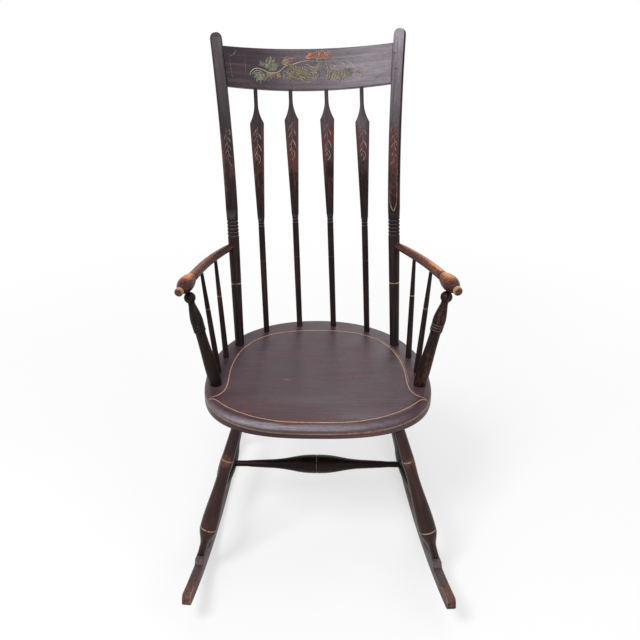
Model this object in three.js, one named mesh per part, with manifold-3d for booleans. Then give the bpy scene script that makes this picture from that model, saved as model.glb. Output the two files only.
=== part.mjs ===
// An arrow-back rocking armchair of painted wood, of about 1830: a plank seat that carries
// bamboo-turned legs, bent stiles with a stencilled crest rail, four arrow-shaped spindles, and
// turned arms on their posts. Millimetres, +Z up. The sitter faces -Y, and the origin lies on the
// floor in the middle of the rockers.
import * as THREE from "three";
import { mergeVertices } from "three/addons/utils/BufferGeometryUtils.js";
import Module from "manifold-3d";

const wasm = await Module();
wasm.setup();

// How the pieces fit: the play of a tenon in its socket, and the space left behind its end.
const socketPlay = 0.3;
const socketEndSpace = 0.8;
const cutOverrun = 12;
const legSocketDepth = 24;
const slimSocketDepth = 25;

// The plank seat: a balloon outline, widest a little ahead of the middle.
const seatWidth = 506;
const seatFrontReach = 192;
const seatRearReach = 273;
const seatWidestY = -33;
const seatTopHeight = 402;
const seatThickness = 38;
const seatDishDepth = 5;
const seatTopRound = 15;
const seatUnderRound = 11;
const seatFrontSquareness = 2.67;
const seatRearSquareness = 2.18;
const seatSocketDepth = 27;
const seatDishShares = [0.85, 0.65, 0.4, 0.15];

// How far the old back has racked: its top leans this much to the sitter's right.
const backLean = 21;

// The two back stiles: straight as far as the bend, then curved back and outwards.
const stileFootX = 185.5;
const stileFootY = 111.5;
const stileBendX = 188.6;
const stileBendY = 203;
const stileBendHeight = 690;
const stileTopX = 212.3;
const stileTopY = 371;
const stileTopHeight = 1084;
const stileFootRadius = 10.8;
const stileLowRingHeight = 543;
const stileLowRingRadius = 12.2;
const stileRingRadius = 13.3;
const stileRingHeight = 652;
const stileRingSpacing = 8;
const stileRingDepth = 1.3;
const stileRingCount = 5;
const stileShoulderRun = 26;
const stileFlatHalfWidth = 14.1;
const stileFlatFront = 8;
const stileFlatBack = 10.6;
const stileFlatSquareness = 5;
const stileBackSquareness = 2.3;
const stileEarHeight = 13;

// The crest rail: a steam-bent tablet tenoned between the stiles.
const crestBelowTop = 70;
const crestHeight = 91;
const crestMiddleDrop = 5;
const crestThickness = 14.5;
const crestSagitta = 42;
const crestEdgeRound = 2.5;
const crestTenonLength = 9;
const crestTenonHeight = 58;
const crestTenonThickness = 7;
const crestPegRadius = 2.8;
const crestPegBeyond = 4.2;
const crestPegHeadRise = 0.5;
const crestPegHeadShare = 0.7;
const crestPegHeight = 18;

// The four arrow spindles of the back.
const arrowInnerX = 42;
const arrowOuterX = 123.5;
const arrowInnerFootY = 204;
const arrowOuterFootY = 176;
const arrowBow = 9;
const arrowFootRadius = 6.8;
const arrowRingHeight = 574;
const arrowRingDepth = 0.9;
const arrowRodRadius = 7.4;
const arrowBladeHeight = 671;
const arrowBladeRingSpacing = 7;
const arrowBladeFootHalfWidth = 8.4;
const arrowShoulderBelowCrest = 126;
const arrowShoulderHalfWidth = 16.6;
const arrowBladeHalfThickness = 4.1;
const arrowBladeSquareness = 4;
const arrowBladeShares = [1 / 3, 2 / 3, 0.92];
const arrowNeckBelowCrest = 84;
const arrowNeckRadius = 4.6;
const arrowFlareShares = [0.2, 0.45, 0.7, 1];
const arrowTenonLength = 16;

// The two arms: turned in the round, bowed outwards, with a swelling over the post and a button.
const armRearHeight = 630;
const armFrontHeight = 638;
const armTipX = 290;
const armTipY = -88;
const armRearAngle = 33;
const armRearHandleShare = 0.36;
const armFrontHandleShare = 0.4;
const armRearRadius = 8.2;
const armRearEdgeShare = 0.93;
const armMiddleRadius = 11;
const armSwellRadius = 17.6;
const armButtonRadius = 9.5;
const armButtonLength = 13;
const armButtonRound = 4.5;
const armButtonGroove = 1.4;
const armButtonShares = [0.3, 0.6, 0.85, 1];
const armSwellFromTip = 43;
const armSwellShares = [0.15, 0.4, 0.65, 0.85, 1];
const armNeckFromTip = 84;
const armNeckRun = 4;
const armNeckRadius = 10.2;
const armTenonRadius = 5.5;
const armTenonLength = 12;

// The two posts that hold up the fronts of the arms.
const postFootX = 225;
const postFootY = -68;
const postTopX = 279;
const postTopY = -46;
const postTenonRadius = 11.5;
const postFootRadius = 14.4;
const postFootRun = 23;
const postWaistRadius = 11.4;
const postRingRadius = 13.6;
const postRingDepth = 1.2;
const postRingSpacing = 6;
const postRingCount = 3;
const postSwellRadius = 14;
const postSwellRun = 44;
const postNeckRadius = 6.4;
const postBallRadius = 12.8;
const postTopTenonRadius = 5.8;
const postTopTenonLength = 27;

// The two slim spindles under each arm, with their places along it as shares of its length.
const armSpindleRearFootX = 213;
const armSpindleRearFootY = 51;
const armSpindleFrontFootX = 224.5;
const armSpindleFrontFootY = -15;
const armSpindleRearShare = 0.235;
const armSpindleFrontShare = 0.505;
const armSpindleFootRadius = 6.9;
const armSpindleRingRadius = 5.6;
const armSpindleTopRadius = 3.7;
const armSpindleRingDepth = 0.8;
const armSpindleRingShare = 0.64;
const armSpindleTenonLength = 8;

// The four legs, turned to one pattern from the seat down.
const frontLegTopX = 172;
const frontLegTopY = -180;
const frontLegFootX = 260;
const frontLegFootY = -244;
const rearLegTopX = 124;
const rearLegTopY = 152;
const rearLegFootX = 222;
const rearLegFootY = 220;
const legTopRadius = 10.8;
const legUpperNode = 77;
const legUpperNodeRadius = 13.8;
const legWaist = 110;
const legWaistRadius = 12.8;
const frontNodeFromFoot = 72;
const rearNodeFromFoot = 113;
const legLowerNodeRadius = 19.3;
const legRingDepth = 1.4;
const legAnkleRadius = 8.6;
const legAnkleFromFoot = 24;
const legFootTenonRadius = 5.4;
const legFootTenonLength = 12;

// The stretchers: one a side between the legs, and one across between those two.
const sideStretcherEndRadius = 7.4;
const sideStretcherSwellRadius = 21;
const sideStretcherSwellRun = 112;
const sideStretcherTenonLength = 13;
const crossStretcherEndRadius = 7.2;
const crossStretcherSwellRadius = 22.5;
const crossStretcherSwellRun = 106;
const crossStretcherTenonLength = 15;
const stretcherGroove = 1.6;
const stretcherSwellShares = [[1, 0], [0.82, 0.17], [0.62, 0.49], [0.42, 0.8], [0.2, 0.96]];

// The two rockers: boards on edge, cut to an arc below, with a raised pad under each leg.
const rockerLength = 802;
const rockerRadius = 1430;
const rockerThickness = 19.5;
const rockerDepth = 24;
const rockerPadRise = 11;
const rockerPadAhead = 27;
const rockerPadStep = 9;
const rockerPadHollowShare = 0.35;
const rockerLowestY = 36;
const rockerEndRound = 5;
const rockerEdgeBevel = 1.6;

// How finely the round forms are faceted.
const legSides = 12;
const stileSides = 14;
const armSides = 12;
const postSides = 12;
const arrowSides = 12;
const slimSides = 10;
const seatSides = 40;
const rockerFacet = 30;
const crestSteps = 14;
const tenonSteps = 2;
const cornerMerge = 1e-4;

// A section's squareness: 2 is round, and 5 is nearly square.
const roundSquareness = 2;

const up = new THREE.Vector3(0, 0, 1);
const chair = new THREE.Group();

// A closed three.js geometry as a solid, with its shared corners merged and slivers left out.
function solidOf(geometry) {
  const bare = geometry.clone();
  bare.deleteAttribute("normal");
  bare.deleteAttribute("uv");
  const merged = mergeVertices(bare, cornerMerge);
  const corners = merged.index.array;
  const kept = [];
  for (let i = 0; i < corners.length; i += 3) {
    const [a, b, c] = [corners[i], corners[i + 1], corners[i + 2]];
    if (a !== b && b !== c && c !== a) kept.push(a, b, c);
  }
  return new wasm.Manifold(new wasm.Mesh({
    numProp: 3,
    vertProperties: merged.getAttribute("position").array,
    triVerts: new Uint32Array(kept),
  }));
}

// A solid back as a three.js geometry.
function geometryOf(solid) {
  const mesh = solid.getMesh();
  const geometry = new THREE.BufferGeometry();
  geometry.setAttribute("position", new THREE.BufferAttribute(mesh.vertProperties, 3));
  geometry.setIndex(new THREE.BufferAttribute(mesh.triVerts, 1));
  return geometry;
}

// Puts a finished piece into the chair under its own frame, and gives its faces their normals.
function addPiece(name, solid, frame, material) {
  const local = solid.transform(frame.clone().invert().elements);
  const geometry = geometryOf(local).toNonIndexed();
  geometry.computeVertexNormals();
  const mesh = new THREE.Mesh(geometry, material);
  mesh.name = name;
  frame.decompose(mesh.position, mesh.quaternion, mesh.scale);
  chair.add(mesh);
}

// The frame of a turned piece: its own +Y runs from start towards end, as on the lathe.
function latheFrame(start, end) {
  const along = end.clone().sub(start).normalize();
  const turn = new THREE.Quaternion().setFromUnitVectors(new THREE.Vector3(0, 1, 0), along);
  return new THREE.Matrix4().compose(start, turn, new THREE.Vector3(1, 1, 1));
}

// A piece turned on the lathe: the profile lists [distance from start, radius], end to end.
function turned(start, end, profile, sides) {
  const first = profile[0][0];
  const last = profile[profile.length - 1][0];
  const points = [new THREE.Vector2(0, first)];
  for (const [distance, radius] of profile) points.push(new THREE.Vector2(radius, distance));
  points.push(new THREE.Vector2(0, last));
  const geometry = new THREE.LatheGeometry(points, sides);
  geometry.applyMatrix4(latheFrame(start, end));
  return solidOf(geometry);
}

// A straight round socket about the line from start to end, between two distances from start.
function socket(start, end, from, to, tenonRadius, sides) {
  const radius = tenonRadius + socketPlay / Math.cos(Math.PI / sides);
  return turned(start, end, [[from, radius], [to, radius]], sides);
}

// The point at a distance from start on the way to end.
function pointBetween(start, end, distance) {
  return end.clone().sub(start).setLength(distance).add(start);
}

// A smooth turned run between two key sections, which eases out of the one into the other.
function easedRun([fromDistance, fromRadius], [toDistance, toRadius], steps) {
  const run = [];
  for (let i = 1; i <= steps; i += 1) {
    const share = i / steps;
    const eased = (1 - Math.cos(Math.PI * share)) / 2;
    run.push([
      fromDistance + (toDistance - fromDistance) * share,
      fromRadius + (toRadius - fromRadius) * eased,
    ]);
  }
  return run;
}

// A scored V ring round a turned piece, as wide as it is deep on each side.
function scoredRing(distance, radius, depth) {
  return [[distance - depth, radius], [distance, radius - depth], [distance + depth, radius]];
}

// A closed body through rings of points, each ring turned the same way round its own centre.
function loft(rings) {
  const sides = rings[0].length;
  const positions = [];
  for (const ring of rings) for (const point of ring) positions.push(...point.toArray());
  for (const ring of [rings[0], rings[rings.length - 1]]) {
    const centre = new THREE.Vector3();
    for (const point of ring) centre.addScaledVector(point, 1 / sides);
    positions.push(...centre.toArray());
  }
  const faces = [];
  const startCentre = rings.length * sides;
  const lastRing = (rings.length - 1) * sides;
  for (let j = 0; j < sides; j += 1) {
    const next = (j + 1) % sides;
    for (let i = 0; i < rings.length - 1; i += 1) {
      const here = i * sides;
      const beyond = here + sides;
      faces.push(here + j, here + next, beyond + next);
      faces.push(here + j, beyond + next, beyond + j);
    }
    faces.push(startCentre, next, j);
    faces.push(startCentre + 1, lastRing + j, lastRing + next);
  }
  const geometry = new THREE.BufferGeometry();
  geometry.setAttribute("position", new THREE.Float32BufferAttribute(positions, 3));
  geometry.setIndex(faces);
  return solidOf(geometry);
}

// A section square to a bent piece: across lies along the reference, and depth behind it.
function sectionRing(centre, tangent, reference, section) {
  const along = tangent.clone().normalize();
  const across = reference.clone().addScaledVector(along, -reference.dot(along)).normalize();
  const depth = along.clone().cross(across);
  return section.map(([a, b]) => centre.clone().addScaledVector(across, a).addScaledVector(depth, b));
}

// A closed section with its own depth and squareness in front and behind.
function oval(sides, halfWidth, front, back, frontSquareness, backSquareness) {
  const section = [];
  for (let i = 0; i < sides; i += 1) {
    const angle = (2 * Math.PI * i) / sides;
    const [c, s] = [Math.cos(angle), Math.sin(angle)];
    const power = 2 / (s < 0 ? frontSquareness : backSquareness);
    const reach = s < 0 ? front : back;
    section.push([
      halfWidth * Math.sign(c) * Math.abs(c) ** power,
      reach * Math.sign(s) * Math.abs(s) ** power,
    ]);
  }
  return section;
}

function roundSection(sides, radius) {
  return oval(sides, radius, radius, radius, roundSquareness, roundSquareness);
}

function paint(colour, roughness) {
  return new THREE.MeshStandardMaterial({ color: colour, roughness, metalness: 0 });
}

const darkPaint = paint(0x33201b, 0.5);
const seatPaint = paint(0x47302f, 0.55);
const crestPaint = paint(0x3a201c, 0.5);
const wornPaint = paint(0x8a4c28, 0.45);
const rockerPaint = paint(0x3c2a26, 0.6);

const seatUnderHeight = seatTopHeight - seatThickness;

// How far the racked back stands aside at a height.
function backShift(height) {
  return (-backLean * (height - seatTopHeight)) / (stileTopHeight - seatTopHeight);
}

// The centre line of a stile at a height, for the side where x is positive or negative.
function stilePoint(side, height) {
  const lean = (stileBendY - stileFootY) / (stileBendHeight - seatTopHeight);
  const flare = (stileBendX - stileFootX) / (stileBendHeight - seatTopHeight);
  const rise = height - stileBendHeight;
  const topRise = stileTopHeight - stileBendHeight;
  const backBend = (stileTopY - stileBendY - lean * topRise) / topRise ** 2;
  const outBend = (stileTopX - stileBendX - flare * topRise) / topRise ** 2;
  const bent = Math.max(rise, 0) ** 2;
  return new THREE.Vector3(
    side * (stileBendX + flare * rise + outBend * bent) + backShift(height),
    stileBendY + lean * rise + backBend * bent,
    height,
  );
}

// The way a stile runs at a height.
function stileTangent(side, height) {
  const step = stileRingDepth;
  return stilePoint(side, height + step).sub(stilePoint(side, height - step)).normalize();
}

const acrossChair = new THREE.Vector3(1, 0, 0);

// A ring of the stile at a height.
function stileRing(side, height, section) {
  return sectionRing(stilePoint(side, height), stileTangent(side, height), acrossChair, section);
}

// The stile's round foot, from below the seat's surface upwards; also its socket with play.
function stileFootRings(side, radius, depth, top) {
  const section = roundSection(stileSides, radius);
  return [seatTopHeight - depth, top].map((height) => stileRing(side, height, section));
}

function stileBlank(side) {
  const rings = stileFootRings(side, stileFootRadius, seatSocketDepth - socketEndSpace, seatTopHeight);
  const round = (height, radius) => rings.push(
    stileRing(side, height, roundSection(stileSides, radius)),
  );
  for (const [height, radius] of scoredRing(stileLowRingHeight, stileLowRingRadius, stileRingDepth)) {
    round(height, radius);
  }
  for (let i = 0; i < stileRingCount; i += 1) {
    const height = stileRingHeight + i * stileRingSpacing;
    round(height - stileRingSpacing / 2, stileRingRadius);
    round(height, stileRingRadius - stileRingDepth);
  }
  const ringsTop = stileRingHeight + (stileRingCount - 1 / 2) * stileRingSpacing;
  round(ringsTop, stileRingRadius);
  const flat = (height, sizeShare) => rings.push(stileRing(side, height, oval(
    stileSides,
    stileFlatHalfWidth * sizeShare,
    stileFlatFront * sizeShare,
    stileFlatBack * sizeShare,
    stileFlatSquareness,
    stileBackSquareness,
  )));
  const flatFoot = ringsTop + stileShoulderRun;
  const flatTop = stileTopHeight - stileEarHeight;
  const flatSteps = 8;
  for (let i = 0; i <= flatSteps; i += 1) flat(flatFoot + ((flatTop - flatFoot) * i) / flatSteps, 1);
  for (const angle of [Math.PI / 8, Math.PI / 4, (3 * Math.PI) / 8]) {
    flat(flatTop + stileEarHeight * Math.sin(angle), Math.cos(angle));
  }
  return loft(rings);
}

// The crest lies in a frame of its own between the stiles: across, up its slope and backwards.
const crestCentreHeight = stileTopHeight - crestBelowTop;
const crestEnd = stilePoint(1, crestCentreHeight);
const crestMiddleX = backShift(crestCentreHeight);
const crestHalfLength = crestEnd.x - crestMiddleX;
const crestSlope = stileTangent(1, crestCentreHeight);
crestSlope.x = 0;
crestSlope.normalize();
const crestBack = acrossChair.clone().cross(crestSlope).negate();
const crestBendRadius = (crestHalfLength ** 2 + crestSagitta ** 2) / (2 * crestSagitta);

// A point of the bent crest: x from its middle, rise up its slope, and set back from its core.
function crestPoint(x, rise, set) {
  const sweep = Math.sqrt(crestBendRadius ** 2 - x ** 2);
  const behind = sweep - crestBendRadius + crestSagitta;
  const outward = new THREE.Vector3(x, 0, 0).addScaledVector(crestBack, sweep).normalize();
  return new THREE.Vector3(crestMiddleX + x, crestEnd.y, crestCentreHeight)
    .addScaledVector(crestSlope, rise)
    .addScaledVector(crestBack, behind)
    .addScaledVector(outward, set);
}

// The crest's lower edge hangs a little deeper in the middle than at its ends.
function crestLowEdge(x) {
  return -crestHeight / 2 - crestMiddleDrop * Math.cos((Math.PI * x) / (2 * crestHalfLength));
}

// A stretch of bent board whose ends lie at given distances inside the stiles' centre lines.
function crestBoard(leftInset, rightInset, lowEdge, topEdge, thickness, round, steps) {
  const rings = [];
  const half = thickness / 2;
  for (let i = 0; i <= steps; i += 1) {
    const share = i / steps;
    const ring = [];
    const corner = (rise, set) => {
      const height = crestCentreHeight + rise * crestSlope.z;
      const left = stilePoint(-1, height).x + leftInset - crestMiddleX;
      const right = stilePoint(1, height).x - rightInset - crestMiddleX;
      ring.push(crestPoint(left + (right - left) * share, rise, set));
    };
    const x = (2 * share - 1) * crestHalfLength;
    const [low, top] = [lowEdge(x), topEdge(x)];
    corner(low, round - half);
    corner(low + round, -half);
    corner(top - round, -half);
    corner(top, round - half);
    corner(top, half - round);
    corner(top - round, half);
    corner(low + round, half);
    corner(low, half - round);
    rings.push(ring.reverse());
  }
  return loft(rings);
}

// A crest tenon at one end, from inside the board to its place in the stile.
function crestTenon(side, grow) {
  const reach = stileFlatHalfWidth - crestTenonLength - grow;
  const inside = stileFlatHalfWidth + cutOverrun;
  const far = 2 * crestHalfLength - inside;
  const low = () => -crestTenonHeight / 2 - grow;
  const top = () => crestTenonHeight / 2 + grow;
  const thickness = crestTenonThickness + 2 * grow;
  const [left, right] = side > 0 ? [far, reach] : [reach, far];
  return crestBoard(left, right, low, top, thickness, crestEdgeRound / 2, tenonSteps);
}

// A peg through the stile's flat front into the tenon, seen from the front as a small round.
function crestPegLine(side) {
  const height = crestCentreHeight + crestPegHeight;
  const middle = stilePoint(side, height);
  middle.x -= side * (stileFlatHalfWidth - crestTenonLength / 2);
  const front = middle.clone().addScaledVector(crestBack, -stileFlatFront);
  return [front, middle];
}

function crestPeg(side) {
  const [front, middle] = crestPegLine(side);
  const profile = [
    [-crestPegHeadRise, crestPegRadius * crestPegHeadShare],
    [0, crestPegRadius],
    [stileFlatFront + crestPegBeyond - socketEndSpace, crestPegRadius],
  ];
  return turned(front, middle, profile, slimSides);
}

function crestPegHole(side) {
  const [front, middle] = crestPegLine(side);
  const end = stileFlatFront + crestPegBeyond;
  return socket(front, middle, -cutOverrun, end, crestPegRadius, slimSides);
}

const arrowShoulderHeight = crestCentreHeight - arrowShoulderBelowCrest;
const arrowNeckHeight = crestCentreHeight - arrowNeckBelowCrest;

// The centre line of an arrow spindle at a height, bent back a little between seat and crest.
function arrowPoint(x, footY, height) {
  const end = crestPoint(x, crestLowEdge(x), 0);
  const share = (height - seatTopHeight) / (end.z - seatTopHeight);
  const bow = arrowBow * 4 * share * (1 - share);
  return new THREE.Vector3(x + (end.x - x) * share, footY + (end.y - footY) * share - bow, height);
}

function arrowRing(x, footY, height, section) {
  const ahead = arrowPoint(x, footY, height + arrowRingDepth);
  const behind = arrowPoint(x, footY, height - arrowRingDepth);
  const centre = arrowPoint(x, footY, height);
  return sectionRing(centre, ahead.sub(behind), acrossChair, section);
}

function arrowSpindle(x, footY) {
  const crestFoot = crestPoint(x, crestLowEdge(x), 0).z;
  const rings = [];
  const blade = (height, halfWidth, halfThickness, squareness) => rings.push(arrowRing(
    x, footY, height,
    oval(arrowSides, halfWidth, halfThickness, halfThickness, squareness, squareness),
  ));
  const rod = (height, radius) => blade(height, radius, radius, roundSquareness);
  rod(seatTopHeight - seatSocketDepth + socketEndSpace, arrowFootRadius);
  rod(seatTopHeight, arrowFootRadius);
  for (const [height, radius] of scoredRing(arrowRingHeight, arrowRodRadius, arrowRingDepth)) {
    rod(height, radius);
  }
  for (const i of [-2, -1]) {
    const height = arrowBladeHeight + i * arrowBladeRingSpacing;
    rod(height - arrowBladeRingSpacing / 2, arrowRodRadius);
    rod(height, arrowRodRadius - arrowRingDepth);
  }
  rod(arrowBladeHeight - arrowBladeRingSpacing / 2, arrowRodRadius);
  const flat = (height, halfWidth) => (
    blade(height, halfWidth, arrowBladeHalfThickness, arrowBladeSquareness)
  );
  flat(arrowBladeHeight + arrowBladeRingSpacing, arrowBladeFootHalfWidth);
  const bladeRise = arrowShoulderHeight - arrowBladeHeight;
  const bladeSpread = arrowShoulderHalfWidth - arrowBladeFootHalfWidth;
  for (const share of arrowBladeShares) {
    flat(arrowBladeHeight + bladeRise * share, arrowBladeFootHalfWidth + bladeSpread * share);
  }
  flat(arrowShoulderHeight, arrowShoulderHalfWidth);
  const flare = arrowNeckHeight - arrowShoulderHeight;
  for (const share of arrowFlareShares) {
    const eased = (1 - share) ** 2;
    blade(
      arrowShoulderHeight + flare * share,
      arrowNeckRadius + (arrowShoulderHalfWidth - arrowNeckRadius) * eased,
      arrowNeckRadius + (arrowBladeHalfThickness - arrowNeckRadius) * eased,
      roundSquareness + (arrowBladeSquareness - roundSquareness) * eased,
    );
  }
  rod(crestFoot, arrowNeckRadius);
  rod(crestFoot + arrowTenonLength - socketEndSpace, arrowNeckRadius);
  return loft(rings);
}

// The sockets of an arrow spindle, in the seat and in the crest's lower edge.
function arrowSocket(x, footY, low, top, tenonRadius) {
  const radius = tenonRadius + socketPlay / Math.cos(Math.PI / arrowSides);
  const section = roundSection(arrowSides, radius);
  return loft([low, top].map((height) => arrowRing(x, footY, height, section)));
}

// The arm's centre line: out of the stile at an angle, then forwards to the button.
function armCurve(side) {
  const angle = THREE.MathUtils.degToRad(armRearAngle);
  const stile = stilePoint(side, armRearHeight);
  const rearWay = new THREE.Vector3(side * Math.sin(angle), -Math.cos(angle), 0);
  const rear = stile.clone().addScaledVector(rearWay, stileRingRadius);
  const tip = new THREE.Vector3(side * armTipX, armTipY, armFrontHeight);
  const postWay = new THREE.Vector3(side * (armTipX - postTopX), armTipY - postTopY, 0).normalize();
  const reach = rear.distanceTo(tip);
  const rearHandle = rear.clone().addScaledVector(rearWay, reach * armRearHandleShare);
  const frontHandle = tip.clone().addScaledVector(postWay, -reach * armFrontHandleShare);
  rearHandle.z = armRearHeight;
  frontHandle.z = armFrontHeight;
  return new THREE.CubicBezierCurve3(rear, rearHandle, frontHandle, tip);
}

function armBlank(side) {
  const curve = armCurve(side);
  const length = curve.getLength();
  const rings = [];
  const ring = (distance, radius) => {
    const share = THREE.MathUtils.clamp(distance / length, 0, 1);
    const tangent = curve.getTangentAt(share);
    const centre = curve.getPointAt(share).addScaledVector(tangent, Math.min(distance, 0));
    rings.push(sectionRing(centre, tangent, up, roundSection(armSides, radius)));
  };
  const fromTip = (distance, radius) => ring(length - distance, radius);
  ring(-armTenonLength, armTenonRadius);
  const lean = (stileBendY - stileFootY) / (stileBendHeight - seatTopHeight);
  const slim = armRearRadius * lean + socketPlay;
  ring(slim, armTenonRadius);
  ring(slim + stileRingDepth, armRearRadius * armRearEdgeShare);
  ring(slim + armRearRadius / 2, armRearRadius);
  const neckStart = length - armNeckFromTip - armNeckRun;
  for (const share of [1 / 4, 1 / 2, 3 / 4, 1]) {
    ring(neckStart * share, armRearRadius + (armMiddleRadius - armRearRadius) * Math.sqrt(share));
  }
  fromTip(armNeckFromTip, armNeckRadius);
  const swell = (share) => armNeckRadius + (armSwellRadius - armNeckRadius) * Math.sin(share * Math.PI / 2);
  const rise = armNeckFromTip - armSwellFromTip;
  for (const share of armSwellShares) fromTip(armNeckFromTip - rise * share, swell(share));
  const buttonNeckRadius = armButtonRadius - armButtonGroove;
  const fall = armSwellFromTip - armButtonLength;
  for (const share of armButtonShares) {
    const radius = buttonNeckRadius + (armSwellRadius - buttonNeckRadius) * Math.cos(share * Math.PI / 2);
    fromTip(armSwellFromTip - fall * share, radius);
  }
  fromTip(armButtonLength - armButtonGroove, armButtonRadius);
  for (const angle of [0, Math.PI / 6, Math.PI / 3, Math.PI / 2]) {
    const shrink = armButtonRound * (1 - Math.cos(angle));
    fromTip(armButtonRound * (1 - Math.sin(angle)), armButtonRadius - shrink);
  }
  return loft(rings);
}

// The post leans outwards from its socket in the seat to the arm's swelling.
function postLine(side) {
  const foot = new THREE.Vector3(side * postFootX, postFootY, seatTopHeight);
  const top = new THREE.Vector3(side * postTopX, postTopY, armFrontHeight);
  return [foot, top];
}

// How far a leaning piece stays slim before it can widen clear of the flat face it stands on.
function leaningClearance([start, end], radius) {
  const way = end.clone().sub(start);
  return (radius * Math.hypot(way.x, way.y)) / Math.abs(way.z) + socketPlay;
}

// The middle of the post's ball, which stands just clear of the arm's swelling.
function postBallMiddle(length) {
  return length - armSwellRadius - postBallRadius - 2 * socketPlay;
}

// The post from its tenon up: a flared foot, scored rings, a swelling, a neck and a ball.
function postProfile(line) {
  const length = line[0].distanceTo(line[1]);
  const slim = leaningClearance(line, postFootRadius);
  const ball = postBallMiddle(length);
  const neck = ball - postBallRadius - postNeckRadius / 2;
  const ringTop = neck - postSwellRun;
  const ringFoot = ringTop - postRingCount * postRingSpacing;
  const swellTop = ringTop + postRingSpacing / 2;
  const foot = [postFootRun, postFootRadius];
  const profile = [
    [socketEndSpace - slimSocketDepth, postTenonRadius],
    [slim, postTenonRadius],
    [slim + socketPlay, postFootRadius - postRingDepth],
    foot,
    ...easedRun(foot, [ringFoot - postRingSpacing, postWaistRadius], 3),
  ];
  for (let i = 0; i < postRingCount; i += 1) {
    const middle = ringFoot + (i + 1 / 2) * postRingSpacing;
    profile.push([middle - postRingSpacing / 2, postRingRadius]);
    profile.push([middle, postRingRadius - postRingDepth]);
  }
  profile.push([ringTop, postRingRadius]);
  profile.push(...easedRun([swellTop, postSwellRadius], [neck, postNeckRadius], 4));
  for (const angle of [-60, -30, 0, 30, 60]) {
    const turn = THREE.MathUtils.degToRad(angle);
    profile.push([ball + postBallRadius * Math.sin(turn), postBallRadius * Math.cos(turn)]);
  }
  profile.push([ball + postBallRadius, postTopTenonRadius]);
  profile.push([ball + postTopTenonLength, postTopTenonRadius]);
  return profile;
}

function armPost(side) {
  const [foot, top] = postLine(side);
  return turned(foot, top, postProfile([foot, top]), postSides);
}

// A slim spindle between seat and arm: its foot on the seat and its top on the arm's axis.
function armSpindleLine(side, which) {
  const footX = which === "rear" ? armSpindleRearFootX : armSpindleFrontFootX;
  const footY = which === "rear" ? armSpindleRearFootY : armSpindleFrontFootY;
  const share = which === "rear" ? armSpindleRearShare : armSpindleFrontShare;
  return [new THREE.Vector3(side * footX, footY, seatTopHeight), armCurve(side).getPointAt(share)];
}

function armSpindle(side, which) {
  const [foot, top] = armSpindleLine(side, which);
  const length = foot.distanceTo(top);
  const ring = (length - armMiddleRadius) * armSpindleRingShare;
  return turned(foot, top, [
    [socketEndSpace - slimSocketDepth, armSpindleFootRadius],
    [0, armSpindleFootRadius],
    [ring / 2, (armSpindleFootRadius + armSpindleRingRadius) / 2 + armSpindleRingDepth / 2],
    ...scoredRing(ring, armSpindleRingRadius, armSpindleRingDepth),
    [length - armMiddleRadius, armSpindleTopRadius],
    [length - armMiddleRadius + armSpindleTenonLength, armSpindleTopRadius],
  ], slimSides);
}

function rockerPadHeight(y) {
  const away = y - rockerLowestY;
  return rockerRadius - Math.sqrt(rockerRadius ** 2 - away ** 2) + rockerDepth + rockerPadRise;
}

// A leg's axis from the seat's underside to the pad of its rocker.
function legLine(side, which) {
  const front = which === "front";
  const top = new THREE.Vector3(
    side * (front ? frontLegTopX : rearLegTopX),
    front ? frontLegTopY : rearLegTopY,
    seatUnderHeight,
  );
  const footY = front ? frontLegFootY : rearLegFootY;
  const footX = front ? frontLegFootX : rearLegFootX;
  return [top, new THREE.Vector3(side * footX, footY, rockerPadHeight(footY))];
}

// The distance of a leg's lower node from its top.
function lowerNode(side, which) {
  const [top, foot] = legLine(side, which);
  return top.distanceTo(foot) - (which === "front" ? frontNodeFromFoot : rearNodeFromFoot);
}

function legBlank(side, which) {
  const [top, foot] = legLine(side, which);
  const length = top.distanceTo(foot);
  const node = lowerNode(side, which);
  const ankle = length - legAnkleFromFoot;
  const slim = leaningClearance([top, foot], legAnkleRadius);
  const upperFoot = [legUpperNode + legRingDepth, legUpperNodeRadius];
  const lowerFoot = [node + legRingDepth, legLowerNodeRadius];
  return turned(top, foot, [
    [socketEndSpace - legSocketDepth, legTopRadius],
    [0, legTopRadius],
    [legUpperNode / 2, (legTopRadius + legUpperNodeRadius) / 2],
    ...scoredRing(legUpperNode, legUpperNodeRadius, legRingDepth),
    ...easedRun(upperFoot, [legWaist, legWaistRadius], 2),
    ...easedRun([legWaist, legWaistRadius], [node - legRingDepth, legLowerNodeRadius], 4),
    [node, legLowerNodeRadius - legRingDepth],
    lowerFoot,
    ...easedRun(lowerFoot, [ankle, legAnkleRadius], 4),
    [length - slim - legRingDepth, legAnkleRadius],
    [length - slim, legFootTenonRadius],
    [length + legFootTenonLength, legFootTenonRadius],
  ], legSides);
}

// The side stretcher runs between the lower nodes of the two legs on its side.
function sideStretcherLine(side) {
  return [
    pointBetween(...legLine(side, "front"), lowerNode(side, "front")),
    pointBetween(...legLine(side, "rear"), lowerNode(side, "rear")),
  ];
}

// A stretcher's profile: slim ends, and a swelling about its middle with one scored ring. Its
// tenons start inside the pieces that hold it, below their surfaces at endSurface.
function stretcherProfile(length, endRadius, swellRadius, swellRun, endSurface, tenonLength) {
  const middle = length / 2;
  const half = [[endSurface - tenonLength, endRadius]];
  for (const [runShare, riseShare] of stretcherSwellShares) {
    half.push([middle - swellRun * runShare, endRadius + (swellRadius - endRadius) * riseShare]);
  }
  half.push([middle - stretcherGroove, swellRadius]);
  const mirrored = half.map(([distance, radius]) => [length - distance, radius]).reverse();
  return [...half, [middle, swellRadius - stretcherGroove], ...mirrored];
}

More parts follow.
